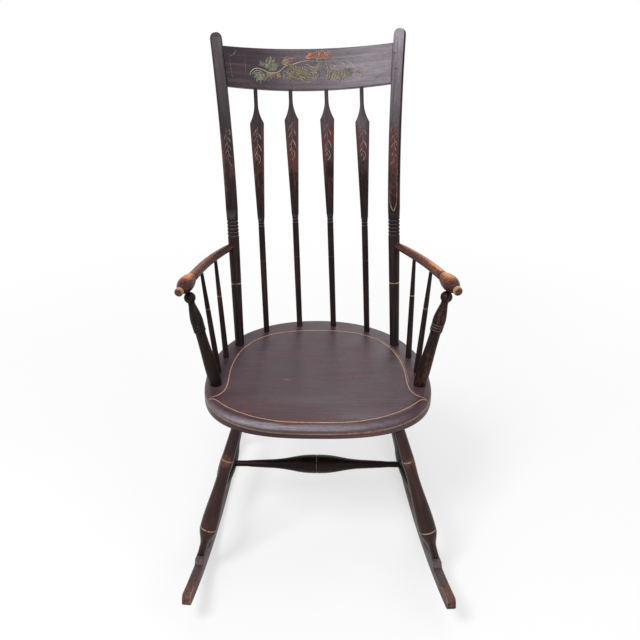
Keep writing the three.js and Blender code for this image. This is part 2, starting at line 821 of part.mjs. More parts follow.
function sideStretcherBlank(side) {
  const [front, rear] = sideStretcherLine(side);
  const profile = stretcherProfile(
    front.distanceTo(rear),
    sideStretcherEndRadius,
    sideStretcherSwellRadius,
    sideStretcherSwellRun,
    legLowerNodeRadius,
    sideStretcherTenonLength,
  );
  return turned(front, rear, profile, legSides);
}

// The cross stretcher runs between the middles of the two side stretchers.
const crossLeft = pointBetween(
  ...sideStretcherLine(-1),
  sideStretcherLine(-1)[0].distanceTo(sideStretcherLine(-1)[1]) / 2,
);
const crossRight = new THREE.Vector3(-crossLeft.x, crossLeft.y, crossLeft.z);

function crossStretcher() {
  const profile = stretcherProfile(
    crossLeft.distanceTo(crossRight),
    crossStretcherEndRadius,
    crossStretcherSwellRadius,
    crossStretcherSwellRun,
    sideStretcherSwellRadius,
    crossStretcherTenonLength,
  );
  return turned(crossLeft, crossRight, profile, legSides);
}

// A rocker stands under the two legs of its side, and runs on past both.
function rockerFrame(side) {
  const front = legLine(side, "front")[1];
  const rear = legLine(side, "rear")[1];
  const along = new THREE.Vector3(rear.x - front.x, rear.y - front.y, 0).normalize();
  const share = -front.y / (rear.y - front.y);
  const middle = new THREE.Vector3(front.x + (rear.x - front.x) * share, 0, 0);
  const outward = along.clone().cross(up);
  return new THREE.Matrix4().makeBasis(along, up, outward).setPosition(middle);
}

// The outline of the rocker board, seen from its side, with its length along x.
function rockerOutline(side) {
  const frame = rockerFrame(side);
  const slant = frame.elements[1];
  const lowest = rockerLowestY / slant;
  const centreHeight = Math.sqrt(rockerRadius ** 2 - (rockerFacet / 2) ** 2);
  const points = [];
  const push = (x, depth) => {
    const angle = Math.asin((x - lowest) / rockerRadius);
    points.push(new THREE.Vector2(
      lowest + (rockerRadius - depth) * Math.sin(angle),
      centreHeight - (rockerRadius - depth) * Math.cos(angle),
    ));
  };
  const end = rockerLength / 2;
  const inner = end - rockerEndRound;
  const corner = rockerEndRound * (1 - Math.SQRT1_2);
  push(-inner, 0);
  const firstFacet = Math.ceil((-inner - lowest) / rockerFacet);
  for (let i = firstFacet; lowest + (i + 1 / 2) * rockerFacet < inner; i += 1) {
    const x = lowest + (i + 1 / 2) * rockerFacet;
    if (x > -inner + rockerFacet / 4) push(x, 0);
  }
  push(inner, 0);
  push(end - corner, corner);
  push(end, rockerEndRound);
  push(end, rockerDepth - rockerEndRound);
  push(end - corner, rockerDepth - corner);
  push(inner, rockerDepth);
  const pads = [rearLegFootY / slant, frontLegFootY / slant];
  for (const pad of pads) {
    const [far, near] = [pad + rockerPadAhead, pad - rockerPadAhead];
    push(far + rockerPadStep, rockerDepth);
    push(far + rockerPadStep / 3, rockerDepth + rockerPadRise * rockerPadHollowShare);
    push(far, rockerDepth + rockerPadRise);
    push(pad, rockerDepth + rockerPadRise);
    push(near, rockerDepth + rockerPadRise);
    push(near - rockerPadStep / 3, rockerDepth + rockerPadRise * rockerPadHollowShare);
    push(near - rockerPadStep, rockerDepth);
    if (pad > 0) {
      const gap = pads[0] - pads[1] - 2 * (rockerPadAhead + rockerPadStep);
      const topSteps = 8;
      for (let i = 1; i < topSteps; i += 1) push(near - rockerPadStep - (gap * i) / topSteps, rockerDepth);
    }
  }
  push(-inner, rockerDepth);
  push(corner - end, rockerDepth - corner);
  push(-end, rockerDepth - rockerEndRound);
  push(-end, rockerEndRound);
  push(corner - end, corner);
  return points;
}

function rockerBlank(side) {
  const shape = new THREE.Shape(rockerOutline(side));
  const geometry = new THREE.ExtrudeGeometry(shape, {
    depth: rockerThickness - 2 * rockerEdgeBevel,
    bevelEnabled: true,
    bevelSegments: 1,
    bevelSize: rockerEdgeBevel,
    bevelThickness: rockerEdgeBevel,
    bevelOffset: -rockerEdgeBevel,
    steps: 1,
  });
  geometry.translate(0, 0, rockerEdgeBevel - rockerThickness / 2);
  geometry.applyMatrix4(rockerFrame(side));
  return solidOf(geometry);
}

// The seat's outline, brought in by an inset, at one angle round it.
function seatEdgePoint(angle, inset) {
  const [c, s] = [Math.cos(angle), Math.sin(angle)];
  const squareness = s < 0 ? seatFrontSquareness : seatRearSquareness;
  const reach = s < 0 ? seatFrontReach : seatRearReach;
  const x = (seatWidth / 2) * Math.sign(c) * Math.abs(c) ** (2 / squareness);
  const y = reach * Math.sign(s) * Math.abs(s) ** (2 / squareness);
  const inward = new THREE.Vector2(x / (seatWidth / 2) ** 2, y / reach ** 2).normalize();
  return new THREE.Vector2(x - inward.x * inset, y - inward.y * inset);
}

function seatRing(inset, height, shrinkShare) {
  const ring = [];
  for (let i = 0; i < seatSides; i += 1) {
    const edge = seatEdgePoint((2 * Math.PI * i) / seatSides, inset).multiplyScalar(shrinkShare);
    ring.push(new THREE.Vector3(edge.x, edge.y + seatWidestY, height));
  }
  return ring;
}

function seatBlank() {
  const rings = [];
  for (const angle of [0, Math.PI / 4, Math.PI / 2]) {
    const inset = seatUnderRound * (1 - Math.sin(angle));
    rings.push(seatRing(inset, seatUnderHeight + seatUnderRound * (1 - Math.cos(angle)), 1));
  }
  for (const angle of [0, Math.PI / 6, Math.PI / 3, Math.PI / 2]) {
    const inset = seatTopRound * (1 - Math.cos(angle));
    rings.push(seatRing(inset, seatTopHeight - seatTopRound * (1 - Math.sin(angle)), 1));
  }
  for (const share of seatDishShares) {
    const dish = seatDishDepth * Math.cos((share * Math.PI) / 2) ** 2;
    rings.push(seatRing(seatTopRound, seatTopHeight - dish, share));
  }
  return loft(rings);
}

function withoutAll(solid, cutters) {
  let rest = solid;
  for (const cutter of cutters) rest = rest.subtract(cutter);
  return rest;
}

// Every socket of the seat: stiles, arrow spindles, posts, slim spindles and legs.
function seatSocketCutters() {
  const cutters = [];
  for (const side of [-1, 1]) {
    const stileHole = stileFootRadius + socketPlay / Math.cos(Math.PI / stileSides);
    cutters.push(loft(stileFootRings(side, stileHole, seatSocketDepth, seatTopHeight + cutOverrun)));
    for (const [x, footY] of [[arrowInnerX, arrowInnerFootY], [arrowOuterX, arrowOuterFootY]]) {
      const low = seatTopHeight - seatSocketDepth;
      cutters.push(arrowSocket(side * x, footY, low, seatTopHeight + cutOverrun, arrowFootRadius));
    }
    cutters.push(socket(...postLine(side), -slimSocketDepth, cutOverrun, postTenonRadius, postSides));
    for (const which of ["rear", "front"]) {
      const slim = armSpindleLine(side, which);
      cutters.push(socket(...slim, -slimSocketDepth, cutOverrun, armSpindleFootRadius, slimSides));
      const leg = legLine(side, which);
      cutters.push(socket(...leg, -legSocketDepth, cutOverrun, legTopRadius, legSides));
    }
  }
  return cutters;
}

function armCutters(side) {
  const [foot, top] = postLine(side);
  const length = foot.distanceTo(top);
  const start = length - armSwellRadius - socketPlay;
  const end = postBallMiddle(length) + postTopTenonLength + socketEndSpace;
  const cutters = [socket(foot, top, start, end, postTopTenonRadius, postSides)];
  for (const which of ["rear", "front"]) {
    const line = armSpindleLine(side, which);
    const reach = line[0].distanceTo(line[1]);
    const from = reach - armMiddleRadius - cutOverrun;
    const to = reach - armMiddleRadius + armSpindleTenonLength + socketEndSpace;
    cutters.push(socket(...line, from, to, armSpindleTopRadius, slimSides));
  }
  return cutters;
}

function stileCutters(side) {
  const curve = armCurve(side);
  const tangent = curve.getTangentAt(0);
  const mouth = curve.getPointAt(0).addScaledVector(tangent, stileRingRadius);
  const end = curve.getPointAt(0).addScaledVector(tangent, -armTenonLength - socketEndSpace);
  const radius = armTenonRadius + socketPlay / Math.cos(Math.PI / armSides);
  const rings = [end, mouth].map((centre) => (
    sectionRing(centre, tangent, up, roundSection(armSides, radius))
  ));
  return [loft(rings), crestTenon(side, socketPlay), crestPegHole(side)];
}

function legCutters(side, which) {
  const [front, rear] = sideStretcherLine(side);
  const length = front.distanceTo(rear);
  const end = legLowerNodeRadius - sideStretcherTenonLength - socketEndSpace;
  const mouth = legLowerNodeRadius + cutOverrun;
  const [from, to] = which === "front" ? [end, mouth] : [length - mouth, length - end];
  return [socket(front, rear, from, to, sideStretcherEndRadius, legSides)];
}

function sideStretcherCutters(side) {
  const length = crossLeft.distanceTo(crossRight);
  const end = sideStretcherSwellRadius - crossStretcherTenonLength - socketEndSpace;
  const mouth = sideStretcherSwellRadius + cutOverrun;
  const [from, to] = side < 0 ? [end, mouth] : [length - mouth, length - end];
  return [socket(crossLeft, crossRight, from, to, crossStretcherEndRadius, legSides)];
}

function rockerCutters(side) {
  return ["front", "rear"].map((which) => {
    const [top, foot] = legLine(side, which);
    const length = top.distanceTo(foot);
    const end = length + legFootTenonLength + socketEndSpace;
    return socket(top, foot, length - legAnkleRadius, end, legFootTenonRadius, legSides);
  });
}

function crestRail() {
  const inset = stileFlatHalfWidth + socketPlay;
  const topEdge = () => crestHeight / 2;
  const board = crestBoard(
    inset, inset, crestLowEdge, topEdge, crestThickness, crestEdgeRound, crestSteps,
  );
  const whole = board.add(crestTenon(-1, 0)).add(crestTenon(1, 0));
  const cutters = [crestPegHole(-1), crestPegHole(1)];
  for (const side of [-1, 1]) {
    for (const [x, footY] of [[arrowInnerX, arrowInnerFootY], [arrowOuterX, arrowOuterFootY]]) {
      const mouth = crestPoint(side * x, crestLowEdge(x), 0).z;
      const [low, top] = [mouth - cutOverrun, mouth + arrowTenonLength];
      cutters.push(arrowSocket(side * x, footY, low, top, arrowNeckRadius));
    }
  }
  return withoutAll(whole, cutters);
}

const level = new THREE.Matrix4();
const seatPlace = new THREE.Matrix4().makeTranslation(0, seatWidestY, seatTopHeight);
addPiece("seat", withoutAll(seatBlank(), seatSocketCutters()), seatPlace, seatPaint);
addPiece("crest_rail", crestRail(), level.clone().setPosition(crestPoint(0, 0, 0)), crestPaint);

const arrows = [
  [-arrowOuterX, arrowOuterFootY],
  [-arrowInnerX, arrowInnerFootY],
  [arrowInnerX, arrowInnerFootY],
  [arrowOuterX, arrowOuterFootY],
];
arrows.forEach(([x, footY], i) => {
  const foot = level.clone().setPosition(arrowPoint(x, footY, seatTopHeight));
  addPiece(`arrow_spindle_${i + 1}`, arrowSpindle(x, footY), foot, darkPaint);
});

for (const [side, hand] of [[-1, "left"], [1, "right"]]) {
  const stileFoot = level.clone().setPosition(stilePoint(side, seatTopHeight));
  addPiece(`stile_${hand}`, withoutAll(stileBlank(side), stileCutters(side)), stileFoot, darkPaint);
  addPiece(`crest_peg_${hand}`, crestPeg(side), latheFrame(...crestPegLine(side)), darkPaint);
  const armRear = level.clone().setPosition(armCurve(side).getPointAt(0));
  addPiece(`arm_${hand}`, withoutAll(armBlank(side), armCutters(side)), armRear, wornPaint);
  addPiece(`arm_post_${hand}`, armPost(side), latheFrame(...postLine(side)), darkPaint);
  for (const which of ["rear", "front"]) {
    const slimFrame = latheFrame(...armSpindleLine(side, which));
    addPiece(`arm_spindle_${which}_${hand}`, armSpindle(side, which), slimFrame, darkPaint);
    const leg = withoutAll(legBlank(side, which), legCutters(side, which));
    addPiece(`leg_${which}_${hand}`, leg, latheFrame(...legLine(side, which)), darkPaint);
  }
  const stretcher = withoutAll(sideStretcherBlank(side), sideStretcherCutters(side));
  const stretcherFrame = latheFrame(...sideStretcherLine(side));
  addPiece(`stretcher_side_${hand}`, stretcher, stretcherFrame, darkPaint);
  const rocker = withoutAll(rockerBlank(side), rockerCutters(side));
  addPiece(`rocker_${hand}`, rocker, rockerFrame(side), rockerPaint);
}
addPiece("stretcher_cross", crossStretcher(), latheFrame(crossLeft, crossRight), darkPaint);

export default chair;
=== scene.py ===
import math
from functools import partial

import bpy
from mathutils import Matrix, Vector


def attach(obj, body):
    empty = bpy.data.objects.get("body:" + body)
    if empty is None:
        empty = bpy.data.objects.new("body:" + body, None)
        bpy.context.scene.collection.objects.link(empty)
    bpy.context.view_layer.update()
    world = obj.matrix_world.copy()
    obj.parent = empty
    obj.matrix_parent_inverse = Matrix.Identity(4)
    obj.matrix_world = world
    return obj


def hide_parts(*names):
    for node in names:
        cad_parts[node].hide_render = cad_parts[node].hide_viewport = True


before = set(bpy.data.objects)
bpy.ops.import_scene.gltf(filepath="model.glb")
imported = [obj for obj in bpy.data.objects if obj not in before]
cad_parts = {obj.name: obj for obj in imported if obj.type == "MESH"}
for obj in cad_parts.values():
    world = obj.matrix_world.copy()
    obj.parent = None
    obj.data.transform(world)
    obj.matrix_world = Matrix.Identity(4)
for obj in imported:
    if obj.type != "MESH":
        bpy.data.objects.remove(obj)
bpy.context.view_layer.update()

# ----------------------------------------
# The seat: one thick poplar plank, sawn to a balloon outline, rounded over at its edge and
# hollowed a little on top. It is painted plum brown, and everything else is socketed into it.

seat_top, seat_thickness, seat_dish = 0.402, 0.038, 0.005
seat_half_width, seat_widest_y = 0.253, -0.033
seat_front_reach, seat_rear_reach = 0.192, 0.273
stripe_y, stripe_z, stripe_slope = -0.225, 0.3795, 0.095
stripe_low, stripe_high = -0.0020, 0.0018
sides = ((-1, "left"), (1, "right"))


def take_up(*pieces):
    """Leaves only these pieces selected, with the first as the one being worked on."""
    bpy.ops.object.select_all(action="DESELECT")
    for piece in pieces:
        piece.select_set(True)
    bpy.context.view_layer.objects.active = pieces[0]


def mark(piece, part, test=lambda item: True):
    """Opens a piece for shaping with only the vertices, edges or polygons marked that pass."""
    if bpy.context.mode != "OBJECT":
        bpy.ops.object.mode_set(mode="OBJECT")
    take_up(piece)
    parts = ("vertices", "edges", "polygons")
    for kind in parts:
        items = getattr(piece.data, kind)
        items.foreach_set("select", [False] * len(items))
    for item in getattr(piece.data, part):
        item.select = test(item)
    bpy.context.tool_settings.mesh_select_mode = [part == kind for kind in parts]
    bpy.ops.object.mode_set(mode="EDIT")


def put_down(piece):
    """Closes a piece after shaping, with its faces turned outwards."""
    if bpy.context.mode == "OBJECT":
        take_up(piece)
        bpy.ops.object.mode_set(mode="EDIT")
    bpy.ops.mesh.select_all(action="SELECT")
    bpy.ops.mesh.normals_make_consistent(inside=False)
    bpy.ops.object.mode_set(mode="OBJECT")


def settle(piece):
    """Works a piece's place and turn into its mesh."""
    take_up(piece)
    bpy.ops.object.transform_apply(location=True, rotation=True, scale=True)


def lay_out(name, drawing):
    piece = bpy.data.objects.new(name, drawing)
    bpy.context.scene.collection.objects.link(piece)
    return piece


def draw_line(curve, places, closed=False):
    """A line of straight steps through places, added to a curve."""
    line = curve.splines.new("POLY")
    line.points.add(len(places) - 1)
    line.use_cyclic_u = closed
    for point, place in zip(line.points, places):
        point.co = (*place, 1)
    return line.points


def cut_out(name, drawing):
    """A drawn curve made a mesh."""
    take_up(lay_out(name, drawing))
    bpy.ops.object.convert(target="MESH")
    piece = bpy.context.object
    piece.name = piece.data.name = name
    return piece


def saw_out(name, outline, thickness, top):
    """A board sawn to an outline that lies flat: its top face at that height, its body below."""
    pattern = bpy.data.curves.new(name, "CURVE")
    draw_line(pattern, [(x, y, top) for x, y in outline], closed=True)
    board = cut_out(name, pattern)
    bpy.ops.object.mode_set(mode="EDIT")
    bpy.ops.mesh.select_all(action="SELECT")
    bpy.ops.mesh.edge_face_add()
    bpy.ops.mesh.extrude_region_move(TRANSFORM_OT_translate={"value": (0, 0, -thickness)})
    put_down(board)
    return board


def round_over(board, height, width, segments=4):
    """Rounds the edges of a board that lie at a height."""
    points = board.data.vertices
    mark(board, "edges", lambda edge: all(abs(points[i].co.z - height) < 1e-5 for i in edge.vertices))
    bpy.ops.mesh.bevel(offset=width, segments=segments, profile=0.5, affect="EDGES", clamp_overlap=False)
    put_down(board)


def saw_cuts(board, places, normal):
    """Scores a board right through its faces at each place."""
    mark(board, "polygons")
    for place in places:
        bpy.ops.mesh.select_all(action="SELECT")
        bpy.ops.mesh.bisect(plane_co=place, plane_no=normal)
    put_down(board)


def between(pairs, place):
    """A number read off a list of (place, number) pairs."""
    for (low, first), (high, second) in zip(pairs, pairs[1:]):
        if place <= high:
            return first + (second - first) * max(0.0, (place - low) / (high - low))
    return pairs[-1][1]


def near(value, middle, reach):
    """One at the middle, and nought from its reach outwards."""
    return max(0.0, 1 - abs(value - middle) / reach)


def past(value, start, width=1.0):
    """Nought up to the start, and one from its width onwards."""
    return max(0.0, min(1.0, (value - start) / width))


def smooth_over(piece, degrees=35):
    take_up(piece)
    bpy.ops.object.shade_smooth_by_angle(angle=math.radians(degrees))


def coat(piece, *finishes):
    for finish in finishes:
        piece.data.materials.append(finish)


def fit(piece, slot, *nodes):
    """A finished piece rides on the chair, and stands for the solids it is the fuller form of."""
    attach(piece, "root")
    if nodes:
        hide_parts(*nodes)


def note_grain(piece, shift=0.0, axes="xyz", slide=(1, 0.6, 0.3)):
    """Keeps where each point lay on the bench, so that the paint's grain follows the wood."""
    grain = piece.data.attributes.new("grain", "FLOAT_VECTOR", "POINT")
    for point, vertex in zip(grain.data, piece.data.vertices):
        point.vector = getattr(vertex.co, axes) + Vector([shift * step for step in slide])


def note_wear(piece, amount, kind="rubbed"):
    """Keeps how far each point has been rubbed by hands, or how much painted sheen it carries, from none to one.
    """
    wear = piece.data.attributes.new(kind, "FLOAT", "POINT")
    for point, vertex in zip(wear.data, piece.data.vertices):
        point.value = amount(vertex)


def add_node(tree, kind, sockets=(), **settings):
    """Adds a node, feeds each of its sockets a value or an output, and gives its own outputs."""
    node = tree.nodes.new("ShaderNode" + kind)
    for setting, value in settings.items():
        setattr(node, setting, value)
    for socket, value in dict(sockets).items():
        if isinstance(value, bpy.types.NodeSocket):
            tree.links.new(value, node.inputs[socket])
        else:
            node.inputs[socket].default_value = value
    return node.outputs


def sum_of(tree, first, second, operation="ADD"):
    return add_node(tree, "Math", {0: first, 1: second}, operation=operation)[0]


def times(tree, first, second):
    return sum_of(tree, first, second, "MULTIPLY")


def centred(tree, value, reach):
    """A noise about nought instead of about a half, as strong as its reach."""
    return times(tree, sum_of(tree, value, 0.5, "SUBTRACT"), reach)


def eased(tree, value, low, high):
    """Nought below low, one above high, and a soft step between them."""
    return add_node(tree, "MapRange", {0: value, 1: low, 2: high}, interpolation_type="SMOOTHSTEP")[0]


def spread(tree, value, first, last, low=0.3, high=0.7):
    """A value, such as a noise's, spread evenly from first to last."""
    return add_node(tree, "MapRange", {0: value, 1: low, 2: high, 3: first, 4: last})[0]


def tinted(tree, share, first, second, blend="MIX"):
    sockets = {0: share, 6: first, 7: second}
    return add_node(tree, "Mix", sockets, data_type="RGBA", blend_type=blend)[2]


def shaded(tree, colour, value, first, last):
    """A colour made darker and lighter as a noise goes."""
    return tinted(tree, 1.0, colour, spread(tree, value, first, last), "MULTIPLY")


def stretched(tree, along, scale):
    return add_node(tree, "Mapping", {"Vector": along, "Scale": scale})[0]


def noise(tree, along, scale, detail, roughness=0.5, distortion=0.0):
    form = {"Scale": scale, "Detail": detail, "Roughness": roughness, "Distortion": distortion}
    return add_node(tree, "TexNoise", {"Vector": along, **form})[0]


# Old grained paint: a dark top coat brushed over red brown, crazed with age, and rubbed through
# first to the under coat and then to bare wood, with a pale grey painted sheen over it that stands
# in for light reflected off the paint. Its grain runs along the Z of its vector.
aged_paint = bpy.data.node_groups.new("aged_paint", "ShaderNodeTree")
for way, kind, labels in (
    ("INPUT", "Vector", ("Along",)),
    ("INPUT", "Float", ("Rubbed", "Painted Sheen", "Graining", "Fineness", "Mottling", "Crazing", "Dullness")),
    ("INPUT", "Color", ("Top Coat", "Under Coat", "Bare Wood")),
    ("OUTPUT", "Color", ("Color",)),
    ("OUTPUT", "Float", ("Roughness", "Height")),
):
    for label in labels:
        aged_paint.interface.new_socket(label, in_out=way, socket_type="NodeSocket" + kind)
given = aged_paint.nodes.new("NodeGroupInput").outputs
result = aged_paint.nodes.new("NodeGroupOutput").inputs
plus, by, about, ease, tint, shade, pull, grainy = (
    partial(effect, aged_paint)
    for effect in (sum_of, times, centred, eased, tinted, shaded, stretched, noise)
)
scaled = {0: given["Along"], "Scale": given["Fineness"]}
fine = add_node(aged_paint, "VectorMath", scaled, operation="SCALE")[0]
streaks = grainy(pull(fine, (1, 1, 0.05)), 240, 5, 0.62, 0.5)
clouds = grainy(pull(given["Along"], (1, 1, 0.45)), 26, 3, 0.55)
mottles = grainy(pull(fine, (1, 1, 0.6)), 170, 4, 0.65, 0.3)
specks = grainy(given["Along"], 640, 3, 0.6)
worn = plus(plus(given["Rubbed"], about(clouds, 0.8)), about(streaks, 0.5))
worn = plus(worn, by(about(mottles, 3.0), given["Mottling"]))
through, bare = ease(worn, 0.42, 0.6), ease(worn, 0.67, 0.96)
grained = by(ease(streaks, 0.46, 0.7), given["Graining"])
colour = shade(tint(grained, given["Top Coat"], given["Under Coat"]), clouds, 0.7, 1.3)
# Painted sheen: a pale grey laid over the paint where light would be reflected off it
painted_sheen_share = by(given["Painted Sheen"], spread(aged_paint, streaks, 0.55, 1.35))
painted_sheen_share = by(painted_sheen_share, spread(aged_paint, mottles, 0.82, 1.14))
colour = tint(painted_sheen_share, colour, (0.29, 0.255, 0.29, 1))
colour = tint(through, colour, given["Under Coat"])
colour = tint(bare, colour, shade(given["Bare Wood"], streaks, 0.5, 1.3))
cells = {"Vector": pull(fine, (1, 1, 0.5)), "Scale": 220}
edges = add_node(aged_paint, "TexVoronoi", cells, feature="DISTANCE_TO_EDGE")["Distance"]
cracks = by(plus(1.0, ease(edges, 0.0, 0.05), "SUBTRACT"), ease(clouds, 0.42, 0.62))
cracks = by(cracks, given["Crazing"])
colour = shade(tint(by(cracks, 0.6), colour, (0.008, 0.005, 0.004, 1)), specks, 0.76, 1.24)
dull = plus(plus(about(clouds, 0.25), given["Dullness"]), by(through, 0.1))
dull = plus(dull, about(specks, 0.3))
height = plus(plus(by(streaks, 0.4), by(specks, 0.3)), by(mottles, 0.5))
height = plus(plus(height, by(through, 0.35), "SUBTRACT"), by(cracks, 0.7), "SUBTRACT")
for socket, value in (("Color", colour), ("Roughness", dull), ("Height", height)):
    aged_paint.links.new(value, result[socket])


def new_finish(name):
    finish = bpy.data.materials.new(name)
    finish.use_nodes = True
    finish.node_tree.nodes.clear()
    return finish, finish.node_tree


def painted(name, top_coat, under_coat, bare_wood, graining=0.5, fineness=1.0, mottling=0.3, crazing=0.5,
            dullness=0.42, along=None, rubbed=None, relief=0.35, specular=0.3):
    """A finish of aged paint, whose grain and wear are those kept on the piece unless given."""
    finish, tree = new_finish(name)
    kept = {
        label: add_node(tree, "Attribute", attribute_name=label) for label in ("grain", "rubbed", "painted_sheen")
    }
    if rubbed is None:
        rubbed = kept["rubbed"]["Fac"]
    paint = add_node(tree, "Group", {
        "Along": along(tree) if along else kept["grain"]["Vector"],
        "Rubbed": rubbed(tree) if callable(rubbed) else rubbed,
        # The painted sheen kept on the piece, a pale grey that stands in for reflected light
        "Painted Sheen": kept["painted_sheen"]["Fac"],
        "Top Coat": (*top_coat, 1),
        "Under Coat": (*under_coat, 1),
        "Bare Wood": (*bare_wood, 1),
        "Graining": graining,
        "Fineness": fineness,
        "Mottling": mottling,
        "Crazing": crazing,
        "Dullness": dullness,
    }, node_tree=aged_paint)
    bump = add_node(tree, "Bump", {"Height": paint["Height"], "Strength": relief, "Distance": 0.0006})
    shader = add_node(tree, "BsdfPrincipled", {
        "Base Color": paint["Color"],
        "Roughness": paint["Roughness"],
        "Specular IOR Level": specular,
        "Normal": bump[0],
    })
    add_node(tree, "OutputMaterial", {0: shader[0]})
    return finish


def balloon(along):
    """The seat's reach before or behind its widest line, and how square its shoulders are."""
    return (seat_front_reach, 2.67) if along < 0 else (seat_rear_reach, 2.18)


def seat_edge(turn):
    """The seat's outline at one turn about its widest line."""
    across, along = math.cos(turn), math.sin(turn)
    reach, squareness = balloon(along)
    x = math.copysign(seat_half_width * abs(across) ** (2 / squareness), across)
    y = math.copysign(reach * abs(along) ** (2 / squareness), along)
    return x, y + seat_widest_y


seat_outline = [seat_edge(2 * math.pi * (i + 0.5) / 112) for i in range(112)]
seat = saw_out("seat_plank", seat_outline, seat_thickness, seat_top)
round_over(seat, seat_top, 0.015, 7)
round_over(seat, seat_top - seat_thickness, 0.007)
stripe_edges = [(0, stripe_y, stripe_z + edge) for edge in (stripe_low, stripe_high)]
saw_cuts(seat, stripe_edges, (0, -stripe_slope, 1))

# The dish is drawn inwards from the flat top in rings, each a share of the outline.
mark(seat, "polygons", lambda face: face.center.z > seat_top - 1e-5)
last_share, last_drop = 1.0, 0.0
for share in (0.95, 0.93, 0.87, 0.81, 0.79, 0.71, 0.61, 0.51, 0.41, 0.31, 0.21, 0.11, 0.03):
    drop = seat_dish * math.cos(share * math.pi / 2) ** 2
    bpy.ops.mesh.extrude_region_move()
    smaller = share / last_share
    bpy.ops.transform.resize(value=(smaller, smaller, 1), center_override=(0, seat_widest_y, seat_top))
    bpy.ops.transform.translate(value=(0, 0, last_drop - drop))
    last_share, last_drop = share, drop
put_down(seat)


def inside_line(x, y):
    """One inside the balloon line, where the paint is redder and the painted sheen grows to the right, and none
    outside it.
    """
    along = y - seat_widest_y
    reach, squareness = balloon(along)
    share = ((abs(x) / seat_half_width) ** squareness + abs(along / reach) ** squareness) ** (1 / squareness)
    return float(share < (0.94 if y < -0.1 else 0.8))


def seat_rubbing(vertex):
    """Worn most along the nose, above its stripe and right under it, and a little in the hollow."""
    x, y, z = vertex.co
    nose = near(z, seat_top - 0.004, 0.012) * past(-y, 0.09, 0.08)
    left_front = near(math.hypot((x + 0.12) / 0.13, (y + 0.17) / 0.06), 0, 1)
    hollow = near(math.hypot(x / 0.2, (y + 0.03) / 0.17), 0, 1)
    under = near(z, 0.3715, 0.009) * past(-y, 0.12, 0.05)
    under *= between([(-0.2, 0.16), (-0.05, 0.32), (0.04, 0.5), (0.2, 0.56)], x)
    return 0.1 + 0.2 * nose + under + 0.08 * left_front + 0.06 * hollow + 0.1 * inside_line(x, y)


def seat_painted_sheen(vertex):
    """A painted highlight along the nose, most on its left, and on the front right, and a painted sheen on the
    top, inside the balloon line growing to the right.
    """
    x, y, z = vertex.co
    nose = near(z, 0.3925, 0.0085) * past(-y, 0.1, 0.05)
    nose *= between([(-0.21, 0.55), (-0.17, 1.05), (0.0, 0.95), (0.1, 0.5), (0.2, 0.06)], x)
    right_front = 0.16 * near(math.hypot((x - 0.1) / 0.13, (y + 0.195) / 0.04), 0, 1)
    top = inside_line(x, y) * (0.05 + 0.25 * max(0.0, x)) + (1 - inside_line(x, y)) * 0.06 * (y > -0.1)
    return nose + right_front + top * (z > seat_top - 0.006)


note_wear(seat, seat_rubbing)
note_wear(seat, seat_painted_sheen, "painted_sheen")


def seat_grain(tree):
    """The plank's grain runs from side to side."""
    place = add_node(tree, "TexCoord")["Object"]
    return add_node(tree, "Mapping", {"Vector": place, "Rotation": (0, math.radians(-90), 0)})[0]


def seat_wear(tree):
    """The rubbing kept on the seat, and four small scars: where, how wide, and how deep."""
    place = add_node(tree, "TexCoord")["Object"]
    rubbed = add_node(tree, "Attribute", attribute_name="rubbed")["Fac"]
    for middle, reach, depth in (
        ((0.012, 0.119, 0.399), (0.034, 0.03, 0.1), 0.34),
        ((-0.067, -0.043, 0.398), (0.03, 0.006, 0.1), 0.62),
        ((-0.05, -0.213, 0.4), (0.06, 0.012, 0.1), 0.34),
        ((-0.15, -0.13, 0.4), (0.09, 0.06, 0.1), 0.08),
    ):
        centre, scale = [-m / r for m, r in zip(middle, reach)], [1 / r for r in reach]
        scar = add_node(tree, "Mapping", {"Vector": place, "Location": centre, "Scale": scale})[0]
        away = add_node(tree, "VectorMath", {0: scar}, operation="LENGTH")["Value"]
        close = sum_of(tree, 1.0, eased(tree, away, 0.0, 1.0), "SUBTRACT")
        rubbed = sum_of(tree, rubbed, times(tree, close, depth))
    return rubbed


seat_paint = painted(
    "seat_paint", (0.051, 0.026, 0.034), (0.11, 0.044, 0.043), (0.36, 0.16, 0.085), graining=0.32,
    fineness=0.8, mottling=0.2, crazing=0.3, dullness=0.38, along=seat_grain, rubbed=seat_wear, relief=0.9, specular=0.16,
)
nose_stripe = painted(
    "nose_stripe", (0.22, 0.14, 0.075), (0.12, 0.066, 0.038), (0.06, 0.032, 0.028), graining=0.7,
    mottling=0.4, along=seat_grain, rubbed=0.4, relief=0.2,
)
coat(seat, seat_paint, nose_stripe)
for face in seat.data.polygons:
    x, y, z = face.center
    if stripe_low < z - stripe_z - stripe_slope * (y - stripe_y) < stripe_high and y < -0.1:
        face.material_index = 1
smooth_over(seat)
fit(seat, "seat_paint", "seat")


def drawn(points, step):
    """A line drawn smoothly through its points, whose last number is the brush's half width."""
    ends = [tuple(2 * a - b for a, b in zip(points[0], points[1]))]
    ends += list(points) + [tuple(2 * a - b for a, b in zip(points[-1], points[-2]))]
    line = []
    for p, q, r, s in zip(ends, ends[1:], ends[2:], ends[3:]):
        pieces = max(2, math.ceil(math.dist(q[:2], r[:2]) / step))
        for i in range(pieces):
            t = i / pieces
            line.append(tuple(
                b + 0.5 * t * ((c - a) + t * (2 * a - 5 * b + 4 * c - d + t * (3 * (b - c) + d - a)))
                for a, b, c, d in zip(p, q, r, s)
            ))
    return line + [tuple(points[-1])]


def work_in(piece, kind, **settings):
    """Adds a modifier and applies it."""
    modifier = piece.modifiers.new(kind, kind)
    for setting, value in settings.items():
        setattr(modifier, setting, value)
    take_up(piece)
    bpy.ops.object.modifier_apply(modifier=modifier.name)


